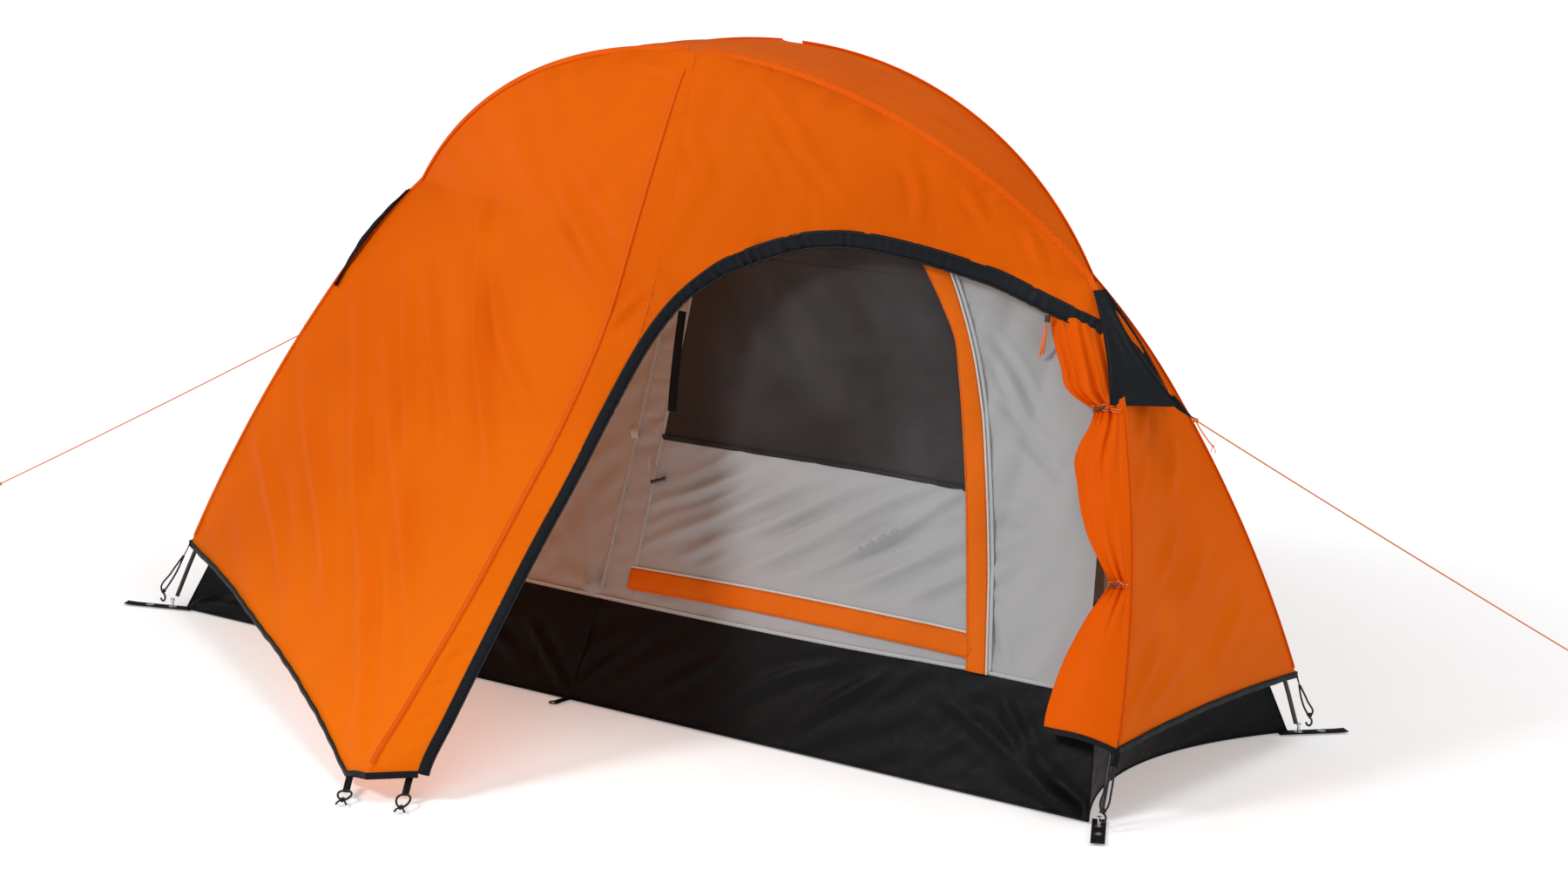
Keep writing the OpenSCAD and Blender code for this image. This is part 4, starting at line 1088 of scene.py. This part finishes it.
def patch_tail(shape, start, end_point):
    """Twisted webbing from a patch to its guy line."""
    turns = np.linspace(0, 1, 30)
    strap = mix(start, end_point, turns[:, None])
    strap = strap + point(0, 0, -0.002 * np.sin(math.pi * turns))
    wide = np.interp(turns, [0, 0.35, 0.7, 1], [0.009, 0.0065, 0.0048, 0.0052])
    twist = point(0, np.sin(2.6 * turns), np.cos(2.6 * turns)) * wide[:, None]
    shape.ribbon(strap, twist, 0.0016, mark=1)


def patch(hand):
    """Black patch over an end crossing, drawn out to the guy line."""
    end_point, cord_start, corner_z, sag = PATCHES[hand]
    end_point, top = np.array(end_point), np.array(PATCH_TOP) * [hand, 1, 1]
    r = np.linspace(0, 1, PATCH_POINTS)
    bow = sag * 4 * r * (1 - r)
    ridge = mix(top, end_point, r[:, None]) - bow[:, None] * [0.77 * hand, 0, 0.64]
    z = mix(top[2], corner_z, r)
    front = mix(fly_side(z, hand, -1), face(hand, 0.0, z), (0.02 * r)[:, None]) + [hand * 0.003, -0.011, 0]
    rear = fly_end(hand, np.full(PATCH_POINTS, 0.72), z) + [hand * 0.003, 0, 0]
    shape = Shape()
    smooth_faces = []
    for side_line in (front, rear):
        f = np.linspace(0, 1, 30)[:, None, None]
        p = mix(side_line[None], ridge[None], f)
        full = np.sin(math.pi * f ** 0.6) * np.sin(math.pi * r)[None, :, None] ** 0.8
        p = p + (full * [0.012 * hand, -0.02, 0] if side_line is front else full * [-0.006 * hand, 0, -0.002])
        grid = p if (side_line is front) == (hand > 0) else p[::-1]
        ways = [[end_point, mix(side_line[0], side_line[-1], k)] for k in (0.15, 0.4, 0.62, 0.85)]
        h = sum(crease(grid, way, 0.007, 0.004, fan=True) for way in ways)
        h = h + ripples(grid, (0.8 * hand, 0, -0.5), 0.05, 0.001, 101 + hand)
        shape.grid(raised(grid, h * pinned(grid, 0.012)))
        smooth_faces.append(grid)
        y = side_line[-1, 1]
        line = side_line + [hand * 0.001, 0.001 * np.sign(y), 0]
        shape.stitches(line, (hand, y, 0.2), 0.005, 0.0005, mark=2)
    shape.ribbon(ridge - [0, 0, 0.002], [0, 0, 0.003], 0.0016, mark=1)
    patch_tail(shape, ridge[-4], np.array(cord_start))
    name = "left" if hand < 0 else "right"
    materials = [trim_black, webbing, cord_black]
    nodes = ["guy_patches"] if hand > 0 else []
    obj = shape.piece(f"guy_patch_{name}", "rainfly", "black_trim", materials, nodes, thick=0.0008)
    sheet(obj, smooth_faces)


patch(1)
patch(-1)


# ---------- Inner tent ----------
def worked(p, on=None, ways=(), along=(0, 0, 1), pitch=0.1, height=0.002, seed=1, hold=0.015, extra=0.0,
           spread=0.25):
    """The grid with its creases: ways are (path of surface coordinates, width, height)."""
    h = ripples(p, along, pitch, height, seed, spread=spread) + extra
    for way, w, a in ways:
        path = through(way, 10)
        h = h + crease(p, on(path[:, 0], path[:, 1]), w, a)
    return raised(p, h * pinned(p, hold))


def panel(name, node, p, made, material=grey, slot="inner_cloth", body="tent"):
    """One cloth panel: p is its smooth surface and made its creased one."""
    obj = Shape().grid(made).piece(name, body, slot, material, [node])
    sheet(obj, [p])
    return obj


def wall_top(x):
    return inner_top(x)[1] - 0.006


def wall_end(z):
    """Where a long wall meets the end wall at height z."""
    return np.maximum(WALL_X, np.interp(z, IN_ZS, IN_X) - 0.001)


INNER_STEP = 0.008
# Creases of the inner: points as (x, height), width of the crest, and its height.
WALL_CREASES = [
    ([(0.625, 0.765), (0.7, 0.69), (0.745, 0.63)], 0.008, -0.006),
    ([(0.655, 0.67), (0.71, 0.62), (0.79, 0.56)], 0.009, -0.007),
    ([(0.63, 0.72), (0.69, 0.66)], 0.006, -0.004), ([(0.648, 0.69), (0.7, 0.645)], 0.006, -0.004),
    ([(0.67, 0.625), (0.75, 0.575), (0.84, 0.53)], 0.008, -0.005),
    ([(0.72, 0.478), (0.8, 0.482)], 0.008, 0.005), ([(0.716, 0.447), (0.8, 0.455)], 0.008, -0.006),
    ([(0.72, 0.38), (0.79, 0.41)], 0.009, -0.005), ([(0.73, 0.33), (0.8, 0.37)], 0.008, -0.004),
    ([(0.76, 0.29), (0.81, 0.2)], 0.009, -0.006), ([(0.73, 0.3), (0.77, 0.32)], 0.007, -0.003),
    ([(0.62, 0.86), (0.72, 0.84)], 0.01, 0.004),
]
DOOR_CREASES = [
    ([(0.66, 0.5), (0.46, 0.35), (0.3, 0.26)], 0.009, 0.0075),
    ([(0.58, 0.505), (0.36, 0.36), (0.2, 0.27)], 0.009, 0.008),
    ([(0.5, 0.505), (0.3, 0.39), (0.1, 0.29)], 0.008, 0.0075),
    ([(0.41, 0.505), (0.22, 0.4), (0.07, 0.33)], 0.008, 0.007),
    ([(0.31, 0.505), (0.15, 0.43), (0.05, 0.39)], 0.007, 0.006),
    ([(0.68, 0.42), (0.54, 0.33), (0.44, 0.27)], 0.008, 0.0075),
    ([(0.7, 0.36), (0.62, 0.31), (0.56, 0.27)], 0.007, 0.006), ([(0.62, 0.46), (0.47, 0.36)], 0.006, 0.005),
    ([(0.45, 0.44), (0.27, 0.33)], 0.006, 0.005), ([(0.24, 0.47), (0.1, 0.41)], 0.006, 0.004),
    ([(0.54, 0.41), (0.38, 0.3)], 0.006, 0.0045),
]
TUB_CREASES = [
    ([(0.28, 0.16), (0.13, 0.05)], 0.010, 0.008), ([(0.41, 0.13), (0.24, 0.05)], 0.010, 0.007),
    ([(0.82, 0.17), (0.92, 0.07)], 0.011, 0.007), ([(-0.08, 0.01), (0.08, 0.15)], 0.009, 0.008),
    ([(-0.08, 0.01), (-0.01, 0.15)], 0.008, 0.007), ([(-0.08, 0.01), (-0.2, 0.13)], 0.009, 0.007),
    ([(0.6, 0.18), (0.42, 0.04)], 0.011, 0.007), ([(0.7, 0.15), (0.98, 0.03)], 0.012, 0.008),
    ([(0.5, 0.17), (0.3, 0.1)], 0.009, 0.005), ([(-0.4, 0.16), (-0.2, 0.05)], 0.011, 0.007),
    ([(-0.6, 0.15), (-0.9, 0.04)], 0.012, 0.008),
]


def front_left_wall():
    u = np.linspace(0, 1, count(0.93, INNER_STEP))[None]
    r = np.linspace(0, 1, count(0.9, INNER_STEP))[:, None]
    z = mix(TUB_H, wall_top(mix(-WALL_X, 0, u)), r)
    x = mix(-wall_end(z), seam_x(z), u)
    p = inner(x, np.minimum(z, wall_top(x) - 0.001))
    fans = sum(crease(p, [inner(-0.06, 0.21), inner(-0.06 - a, 0.21 + b)], 0.013, 0.006, fan=True)
               for a, b in ((0.5, 0.25), (0.35, 0.4), (0.2, 0.5), (0.6, 0.12)))
    made = worked(p, seed=201, along=(0.6, 0, 0.6), height=0.003, pitch=0.09, extra=fans)
    panel("wall_front_left_cloth", "wall_front_left", p, made)


def front_middle_wall():
    z = np.linspace(TUB_H, 1.13, count(0.93, INNER_STEP))[:, None]
    p = inner(mix(seam_x(z), hinge_x(z), np.linspace(0, 1, 12)[None]), np.minimum(z, 1.128))
    seam_z = np.linspace(TUB_H, 1.12, 90)
    pulls = puckers(p, inner(hinge_x(seam_z), seam_z), 0.016, 0.012, 0.0014, 206)
    pulls = pulls + puckers(p, inner(seam_x(seam_z), seam_z), 0.016, 0.014, 0.0014, 207)
    made = worked(p, seed=202, along=(0.5, 0, 0.3), height=0.0014, pitch=0.04, hold=0.006, extra=pulls)
    panel("wall_front_post_cloth", "wall_front_post", p, made)
    z = np.linspace(TUB_H, SILL_Z, 8)[:, None]
    t = np.linspace(0, 1, count(0.72, INNER_STEP))[None]
    p = inner(mix(hinge_x(z), zip_x(z), t), z)
    made = worked(p, seed=203, along=(1, 0, 0.5), height=0.0015, pitch=0.06, hold=0.01)
    panel("wall_sill_cloth", "wall_sill", p, made)


def front_right_wall():
    u = np.linspace(0, 1, count(0.45, INNER_STEP))[None]
    r = np.linspace(0, 1, count(0.88, INNER_STEP))[:, None]
    z = mix(TUB_H, wall_top(mix(zip_x(0.87), 0.915, u)), r)
    x = mix(zip_x(z), mix(0.985, 0.915, r), u)
    p = inner(x, np.minimum(z, wall_top(x) - 0.001))
    seam_z = np.linspace(TUB_H, 0.89, 60)
    pulls = puckers(p, inner(flap_right(seam_z), seam_z), 0.016, 0.011, 0.0018, 205)
    made = worked(p, inner, WALL_CREASES, (0.4, 0, 0.9), 0.09, 0.0016, 204, extra=pulls)
    panel("wall_front_right_cloth", "wall_front_right", p, made)


COVERED_Z = 0.276  # below it the cover of the lower zip lies over the door, which stays flat there


def window_edge(t):
    """Height of the seam between the door's cloth and its netting, t from the hinge to the zip."""
    return WINDOW_Z + 0.003 * np.sin(math.pi * t) - 0.014 * t ** 5


def door():
    t = np.linspace(0.002, 0.998, count(0.6, 0.007))[None]
    z = mix(SILL_Z + 0.002, window_edge(t), np.linspace(0, 1, count(0.26, 0.007))[:, None])
    p = inner(mix(hinge_x(z), zip_x(z), t), z)
    ways = [(way, 1.15 * w, 1.5 * a) for way, w, a in DOOR_CREASES]
    made = worked(p, inner, ways, (1, 0, 0.62), 0.05, 0.0034, 211, 0.012, spread=0.07)
    made = mix(p, made, smooth((z - COVERED_Z) / 0.04)[..., None])
    obj = panel("door_panel_cloth", "door_panel", p, made, body="inner_door")
    z = mix(window_edge(t), DOOR_TOP - 0.002, np.linspace(0, 1, count(0.36, 0.009))[:, None])
    p = inner(mix(hinge_x(z), zip_x(z), t), z)
    ways = [([(0.1, 0.84), (0.32, 0.6)], 0.02, 0.01), ([(0.2, 0.86), (0.5, 0.56)], 0.02, 0.009),
            ([(0.36, 0.86), (0.6, 0.62)], 0.016, 0.007), ([(0.08, 0.7), (0.2, 0.56)], 0.016, 0.006)]
    made = worked(p, inner, ways, (0.6, 0, -0.5), 0.12, 0.003, 212)
    panel("door_mesh_cloth", "door_mesh", p, made, netting, "mesh_cloth", "inner_door")
    hem = Shape()
    x = np.linspace(hinge_x(WINDOW_Z), zip_x(WINDOW_Z), 70)
    line = inner(x, window_edge(np.linspace(0, 1, 70)), out=0.0015)
    hem.ribbon(line, [0, 0, 0.005], 0.0012)
    hem.twin_stitches(line + [0, -0.001, 0], [0, 0, 0.0035], (0, -1, 0))
    hem.piece("door_mesh_hem", "inner_door", "mesh_cloth", [netting, cord_black])


def roof_netting():
    z_top = wall_top(mix(hinge_x(1.1), zip_x(0.866), np.linspace(0, 1, 50)))[None]
    z = mix(DOOR_TOP - 0.003, z_top, np.linspace(0, 1, 28)[:, None])
    x = mix(hinge_x(z), zip_x(0.866), np.linspace(0, 1, 50)[None])
    p = inner(x, z, out=-0.0015)
    panel("gable_netting", "mesh_gable", p, worked(p, seed=221, height=0.001), netting, "mesh_cloth")
    x = np.linspace(-0.74, 0.74, 150)[None]
    y, z = inner_top(x)
    f = np.linspace(-1, 1, 30)[:, None]
    p = point(x, f * (y - 0.003), z - 0.001)
    made = worked(p, seed=222, along=(0, 1, 0), height=0.0012)
    panel("roof_netting", "roof_mesh", p, made, netting, "mesh_cloth")


def plain_walls():
    x = np.linspace(WALL_X, -WALL_X, count(2 * WALL_X, 0.012))[None]
    z = mix(TUB_H, wall_top(x), np.linspace(0, 1, count(0.9, 0.012))[:, None])
    x = x * wall_end(z) / WALL_X
    p = inner(x, np.minimum(z, wall_top(x) - 0.001), side=1)
    panel("wall_back_cloth", "wall_back", p, worked(p, seed=231, height=0.004, pitch=0.14, extra=0.007))
    for hand, side in ((-1, "left"), (1, "right")):
        f = hand * np.linspace(-1, 1, count(0.56, 0.01))[None]
        z = np.linspace(TUB_H, CROSS_Z - 0.09, count(0.59, 0.01))[:, None]
        p = inner_end(hand, f, z)
        made = worked(p, seed=232 + hand, height=0.003, pitch=0.12)
        panel(f"wall_{side}_end_cloth", f"wall_{side}_end", p, made)


def corner(z):
    top = inner_end(1, 1, TUB_H)
    t = z / TUB_H
    return mix(CORNER_X, top[0], t), mix(FLOOR_Y, top[1], t)


def tub_side(t, z, side):
    """Long floor wall: t runs from -1 to 1 between the corner seams."""
    x, y = corner(z)
    p = inner(t * x, z, side)
    p[..., 1] = mix(p[..., 1], side * y, np.abs(t) ** 8)
    return p


def tub_panel(side, p, made):
    panel(f"tub_{side}_cloth", f"tub_{side}", p, made, floor_black, "floor_cloth")


def floor_and_tub():
    z = np.linspace(0.002, TUB_H, count(0.2, 0.007))[:, None]
    t = np.linspace(-1, 1, count(2.07, INNER_STEP))[None]
    for side, name in ((-1, "front"), (1, "back")):
        p = tub_side(-side * t, z, side)
        rng = np.random.default_rng(240 + side)
        fans = 0.0
        for hand in (-1, 1):
            for _ in range(5):
                a = point(hand * 1.02, side * 0.384, 0.01)
                b = inner(hand * rng.uniform(0.6, 0.9), rng.uniform(0.05, 0.19), side)
                fans = fans + crease(p, [a, b], 0.012, rng.uniform(0.003, 0.008), fan=True)
        ways = TUB_CREASES if side < 0 else []
        made = worked(p, inner, ways, (1, 0, 0.55), 0.085, 0.0018, 241 + side, 0.018, extra=fans)
        tub_panel(name, p, made)
    for hand, side in ((-1, "left"), (1, "right")):
        f = hand * np.linspace(-1, 1, count(0.77, INNER_STEP))[None]
        low = point(hand * (CORNER_X - FLOOR_SAG * (1 - f * f)), f * FLOOR_Y, 0.002 + 0 * z)
        p = mix(low, inner_end(hand, f, np.full_like(z, TUB_H)), (z / TUB_H)[..., None])
        made = worked(p, seed=244 + hand, along=(0, 1, 0.45), height=0.0018, pitch=0.08)
        tub_panel(side, p, made)
    y = np.linspace(-FLOOR_Y, FLOOR_Y, 60)[:, None]
    p = point(t * (CORNER_X - FLOOR_SAG * (1 - (y / FLOOR_Y) ** 2)), y, 0.0016)
    shape = Shape().grid(worked(p, seed=246, along=(1, 0.4, 0), height=0.0002))
    obj = shape.piece("floor_cloth", "tent", "floor_cloth", floor_black, ["floor"], thick=0.0008)
    sheet(obj, [p])


for make in (front_left_wall, front_middle_wall, front_right_wall, door, roof_netting, plain_walls,
             floor_and_tub):
    make()


# ---------- Trims of the inner tent ----------
def flap(name, node, p, piped, seed):
    """Zip cover over the smooth grid p, with piping along some of its columns."""
    made = raised(p, ripples(p, (0.6, 0, 0.6), 0.045, 0.0009, seed) * pinned(p, 0.008))
    shape = Shape().grid(made)
    # The covers take the darker orange, which is painted shade.
    obj = shape.piece(name, "tent", "flap_cloth", orange_flap_painted_shade, node, thick=-0.0006)
    sheet(obj, [p])
    trim = Shape()
    for col in piped:
        outward = unit(p[:, col] - p[:, 4])
        trim.tube(p[:, col] + outward * 0.0012 + [0, -0.0004, 0], 0.0022)
    for col in (0, 8):
        trim.stitches(mix(p[:, col], p[:, 4], 0.16) + [0, -0.0012, 0], (0, -1, 0), mark=1)
    trim.piece(name + "_piping", "tent", "white_cord", [white_cloth, thread_orange])


def flaps():
    w = np.linspace(0, 1, 9)[None]
    arched = 0.0036 + 0.0025 * np.sin(math.pi * w)
    lifted = arched + 0.0016 * (1 - w)
    z = mix(0.197, 0.886, np.linspace(0, 1, 110)[:, None])
    upright = inner(mix(spline(FLAP_LEFT, z)[..., 0], flap_right(z), w), z, out=arched)
    flap("flap_upright_cloth", ["flap_upright", "flap_lower"], upright, [8], 251)
    t = np.linspace(0, 1, 110)[:, None]
    x = mix(zip_x(SILL_Z) + 0.004, hinge_x(SILL_Z) - 0.008, t)
    bow = 0.009 * np.sin(math.pi * t)
    low, high = mix(0.216, 0.224, t) + bow, mix(0.257, 0.265, t) + bow
    flap("flap_sill_cloth", ["flap_sill"], inner(x + 0 * w, mix(low, high, w), out=lifted - 0.0022), [8], 252)


flaps()


def seams():
    """Tapes and stitched seams of the inner tent."""
    tapes = Shape()
    z = np.linspace(0.21, 1.1, 90)
    for line in (inner(seam_x(z), z, out=0.001), inner(hinge_x(z), z, out=0.001)):
        tapes.ribbon(line, [0.0035, 0, 0], 0.0008)
        tapes.twin_stitches(line + [0, -0.0008, 0], [0.0025, 0, 0], (0, -1, 0))
    for side in (-1, 1):
        edge = tub_side(np.linspace(-0.998, 0.998, 200), np.full(200, TUB_H), side) + [0, side * 0.0012, 0]
        tapes.ribbon(edge, [0, 0, 0.0035], 0.0012)
        tapes.stitches(edge + [0, side * 0.001, -0.0022], (0, side, 0), mark=1)
    for hand in (-1, 1):
        edge = inner_end(hand, np.linspace(-1, 1, 70), np.full(70, TUB_H)) + [hand * 0.0012, 0, 0]
        tapes.ribbon(edge, [0, 0, 0.0035], 0.0012)
    z = np.linspace(0.204, 0.88, 120)
    line = inner(flap_right(z) + 0.006, z, out=0.002)
    tapes.ribbon(line, [0.0042, 0, 0.0012], 0.001)
    for k in (-0.0028, 0.003):
        tapes.stitches(line + [k, -0.0009, 0], (0, -1, 0), 0.004, 0.0005, mark=1)
    tapes.piece("inner_seam_tapes", "tent", "inner_cloth", [tape_grey, thread_grey])


def tub_seams():
    """Piping round the floor and up its corners, and the seam in the front floor wall."""
    black = Shape()
    z = np.linspace(0.006, 0.196, 30)
    line = inner(mix(-0.078, -0.043, z / TUB_H), z, out=0.0016)
    black.ribbon(line, [0.003, 0, 0], 0.001)
    for side in (-1, 1):
        rim = tub_side(np.linspace(-0.998, 0.998, 200), np.full(200, 0.003), side)
        black.tube(rim + [0, side * 0.0006, 0.0006], 0.0021)
    for hand in (-1, 1):
        f = np.linspace(-1, 1, 60)
        rim = point(hand * (CORNER_X - FLOOR_SAG * (1 - f * f)), f * FLOOR_Y, 0.0036)
        black.tube(rim, 0.0021)
        for side in (-1, 1):
            z = np.linspace(0.004, TUB_H, 24)
            x, y = corner(z)
            black.tube(point(hand * x, side * y, z), 0.0018)
    black.piece("tub_seams", "tent", "floor_cloth", floor_black)


def zips():
    coils = Shape()
    z = np.linspace(0.204, DOOR_TOP, 120)
    upright = inner(zip_x(z) + 0.005, z, out=-0.0037)
    coils.ribbon(upright, [0.0025, 0, 0], 0.0012)
    coils.stitches(upright + [0, 0.0007, 0], (0, 1, 0), 0.0025, 0.0009, mark=1)
    x = np.linspace(hinge_x(SILL_Z) + 0.006, zip_x(SILL_Z) - 0.008, 90)
    sill = inner(x, np.full(90, SILL_Z - 0.007), out=-0.0037)
    coils.ribbon(sill, [0, 0, 0.002], 0.0012)
    coils.stitches(sill + [0, 0.0007, 0], (0, 1, 0), 0.0025, 0.0009, mark=1)
    coils.piece("zip_coils", "tent", "zip_coil", [trim_black, plastic], ["zip_upright", "zip_sill"])


def hooks():
    """Webbing hooks that hang the inner tent from the poles."""
    shape = Shape()
    cross_s = float(arc_of(CROSS_Z))
    for hand in (-1, 1):
        for side in (-1, 1):
            for s in (0.3, 0.56, 0.82, 1.18, 1.42, 1.66):
                step = 0.005 if (side < 0) == (s < cross_s) else -0.005
                places = ((step, 0), (step - 0.009, 0), (-INNER_GAP + 0.004, -0.007))
                mirror = [hand, side, 1]
                centre, near_pole, wall = (point(*pole_line(s, *place)) * mirror for place in places)
                q = point(*pole_line([s - 0.01, s + 0.01], step)) * mirror
                axis = unit(q[1] - q[0])
                a = unit(near_pole - centre)
                b = np.cross(axis, a)
                turn = np.linspace(-0.6, 4.1, 22)[:, None]
                shape.tube(centre + 0.0068 * (np.cos(turn) * a + np.sin(turn) * b), 0.0017)
                strap = mix(centre + 0.008 * a, wall, np.linspace(0, 1, 8)[:, None])
                shape.ribbon(strap, axis * 0.0055, 0.0012, mark=1)
    shape.piece("pole_hooks", "tent", "clip_plastic", [plastic, webbing], ["pole_clips"])


def tie():
    p = inner(hinge_x(0.47) - 0.014, 0.47)
    loop = Shape()
    steps = [[0, -0.0016, 0.006], [0, -0.008, 0.002], [0.004, -0.016, -0.012], [0.008, -0.02, -0.022]]
    path = through([p + step for step in steps], 16)
    for k in (-0.0012, 0.0012):
        loop.tube(path + [k, 0, 0.001], 0.0009, 6)
    loop.piece("door_tie_loop", "tent", "white_cord", cord_white, ["tie_loop"])
    tab = Shape()
    bend = [inner(-0.03, 0.522), inner(-0.028, 0.512, out=0.006), inner(-0.026, 0.498, out=0.001)]
    tab.ribbon(through(bend, 12), [0.009, 0, 0], 0.0012)
    tab.piece("clip_tab", "tent", "webbing", tape_grey)


for make in (seams, tub_seams, zips, hooks, tie):
    make()


# ---------- Webbing, shock cord and pegging points ----------
FEET = [(-1, -1, 0.005, 203), (1, -1, 0.005, -62), (-1, 1, -0.005, 129), (1, 1, -0.005, 51)]


def tabs():
    """Corner webbing with holes for its two eyelets."""
    shape = Shape()
    a = np.linspace(0, 2 * math.pi, 33)
    circle = np.stack([np.cos(a), np.sin(a), 0 * a], -1)
    square = circle / np.maximum(np.abs(circle[:, :1]), np.abs(circle[:, 1:2])) * 0.0125
    for hand, side, step, way in FEET:
        c, s = math.cos(math.radians(way)), math.sin(math.radians(way))
        turn = np.array([[c, s, 0], [-s, c, 0], [0, 0, 1]])
        foot = np.array([hand * (FOOT_X + step), side * FOOT_Y, 0.0025])
        for hole in (0.0, 0.048):
            ring = np.stack([mix(square, circle * 0.0045, t) for t in (0, 0.5, 1)])
            shape.grid((ring + [hole, 0, 0]) @ turn + foot)
        for start, stop in ((-0.042, -0.0125), (0.0125, 0.0355), (0.0605, 0.1)):
            x = np.linspace(start, stop, 8)[None]
            y = np.linspace(-0.0125, 0.0125, 8)[:, None]
            curl = 0.001 * np.clip(x - 0.08, 0, 1) / 0.02
            shape.grid(point(x, y, curl) @ turn + foot)
    shape.piece("corner_tab_webbing", "tent", "webbing", webbing, ["corner_tabs"], thick=0.0014, weld=0.0003)
    loops = Shape()
    for side in (-1, 1):
        root = np.array([-0.078, side * 0.386, 0.0022])
        strap = [root, root + [0, side * 0.018, 0.0004], root + [0, side * 0.036, 0]]
        loops.ribbon(through(strap, 12), [0.008, 0, 0], 0.0014)
        t = np.linspace(0, 2 * math.pi, 30)
        ring = point(0.0085 * np.cos(t), side * 0.041 + 0.0085 * np.sin(t), 0.001)
        loops.tube(root + ring, 0.0016, mark=1)
    loops.piece("edge_loop_webbing", "tent", "webbing", [webbing, cord_black], ["edge_loops"])


def shock_cords():
    """Elastic loops from the hem corners of the rainfly, each ending in a hook over the corner webbing."""
    shape = Shape()
    rear = fly_side(HEM_Z, 1, 1)
    for hand, side, step, _ in FEET:
        top = np.array([hand * (rear[0] + 0.002), side * (rear[1] + 0.001), HEM_Z])
        foot = np.array([hand * (FOOT_X + step + 0.014), side * (FOOT_Y + 0.014), 0.036])
        tab = through([top + [0, 0, 0.004], top + (foot - top) * 0.12, top + (foot - top) * 0.24], 10)
        shape.ribbon(tab, unit(np.cross(foot - top, [hand, side, 0])) * 0.006, 0.0016)
        start = top + (foot - top) * 0.22
        for d in (-1, 1):
            bow = mix(start, foot, 0.5) + [d * 0.006, 0, 0]
            loop = [start + [d * 0.001, 0, 0], bow, foot + [d * 0.0045, 0, 0.002], foot + [0, 0, -0.003]]
            shape.tube(through(loop, 20), 0.0019, mark=1)
        knot(shape, foot, 0.0042, 0.0017, 0.5, mark=1)
        t = np.linspace(0, 4.4, 22)
        hook = foot + np.stack([0.006 * np.sin(t), 0 * t, -0.013 + 0.008 * np.cos(t)], -1)
        shape.tube(hook, 0.0021, mark=2)
    shape.piece("shock_cord_loops", "rainfly", "shock_cord", [webbing, cord_black, plastic], ["shock_loops"])


def peg_points():
    """Webbing at the two peg points of the hem, each with a knotted ring of cord that lies on the ground."""
    shape = Shape()
    for root, low, tip in (((-0.006, -1.1, 0.021), (0.024, -1.144, 0.011), (0.042, -1.174, 0.005)),
                           ((0.104, -1.07, 0.042), (0.118, -1.1, 0.014), (0.142, -1.14, 0.005))):
        root, low, tip = np.array(root), np.array(low), np.array(tip)
        way = tip - low
        side = unit(np.cross(way, [0, 0, 1]))
        shape.ribbon(through([root, mix(root, low, 0.5) + [0, 0, 0.001], low], 10), side * 0.006, 0.003)
        t = np.linspace(0, 2 * math.pi, 40)
        ring = low + np.outer((1 - np.cos(t)) / 2, way)
        ring = ring + np.outer(np.sin(t) * (1 + 0.2 * np.cos(t)), side * 0.0115)
        shape.tube(ring + [0, 0, 0.002], 0.002, mark=1)
        knot(shape, tip + [0, 0, 0.002], 0.0042, 0.0018, 0.8, mark=1)
        for k in (-1, 1):
            end_point = tip + unit(way) * 0.016 + side * 0.009 * k
            end_point[2] = 0.0035
            tail = [tip, mix(tip, end_point, 0.5) + [0, 0, 0.003], end_point]
            shape.tube(through(tail, 8), 0.0017, mark=1)
    shape.piece("peg_point_loops", "rainfly", "webbing", [webbing, cord_black], ["peg_tabs", "peg_loops"])


def small_parts():
    strap = Shape()
    z = np.linspace(0.766, 0.576, 24)
    t = np.linspace(0, 1, 24)
    strap.ribbon(point(0.11 - 0.014 * t, -0.329 - 0.003 * np.sin(math.pi * t), z),
                 np.stack([0.0085 + 0 * t, 0.002 * t, 0 * t], -1), 0.0014)
    strap.stitches(point(0.116 - 0.014 * t, -0.3315 - 0.003 * np.sin(math.pi * t), z), (0, -1, 0))
    strap.piece("hanging_webbing", "rainfly", "webbing", webbing, ["hanging_strap"])
    low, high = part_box("fly_zip_pull")
    top = np.array([high[0] - 0.004, (low[1] + high[1]) / 2 + 0.001, high[2] - 0.001])
    pull = Shape()
    for k in (-1, 1):
        path = [top, top + [0.001 + 0.001 * k, -0.001, -0.02], top + [-0.002 + 0.002 * k, -0.002, -0.042],
                top + [-0.004 + 0.003 * k, -0.002, -0.057 + 0.002 * k]]
        pull.tube(through(path, 20), 0.0024)
    knot(pull, top + [-0.002, -0.0015, -0.047], 0.0024, 0.0014, 0.3)
    pull.piece("fly_zip_cord", "zip_pull", "orange_cord", cord_orange, ["fly_zip_pull"])
    low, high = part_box("slider_sill")
    top = np.array([(low[0] + high[0]) / 2, low[1] - 0.001, low[2] + 0.001])
    tag = Shape()
    for k in (-1, 1):
        path = [top, top + [0.001 * k, -0.005, -0.006], top + [0.002 + 0.0016 * k, -0.008, -0.02]]
        tag.tube(through(path, 12), 0.0015)
    knot(tag, top + [0.002, -0.008, -0.016], 0.0022, 0.0013, 0.5)
    tag.piece("sill_zip_cord", "sill_slider", "orange_cord", cord_orange)


for make in (tabs, shock_cords, peg_points, small_parts):
    make()


# ---------- Finish of the CAD parts that stay ----------
FINISHES = {
    "pole_a_tubes": fibre, "pole_b_tubes": fibre, "pole_a_ferrules": steel, "pole_b_ferrules": steel,
    "pole_tips": steel, "tab_eyelets": steel, "slider_upright": steel, "slider_sill": steel,
    "tie_toggle": plastic, "fly_slider": plastic,
}
for name, material in FINISHES.items():
    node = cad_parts[name]
    node.data.materials.clear()
    node.data.materials.append(material)
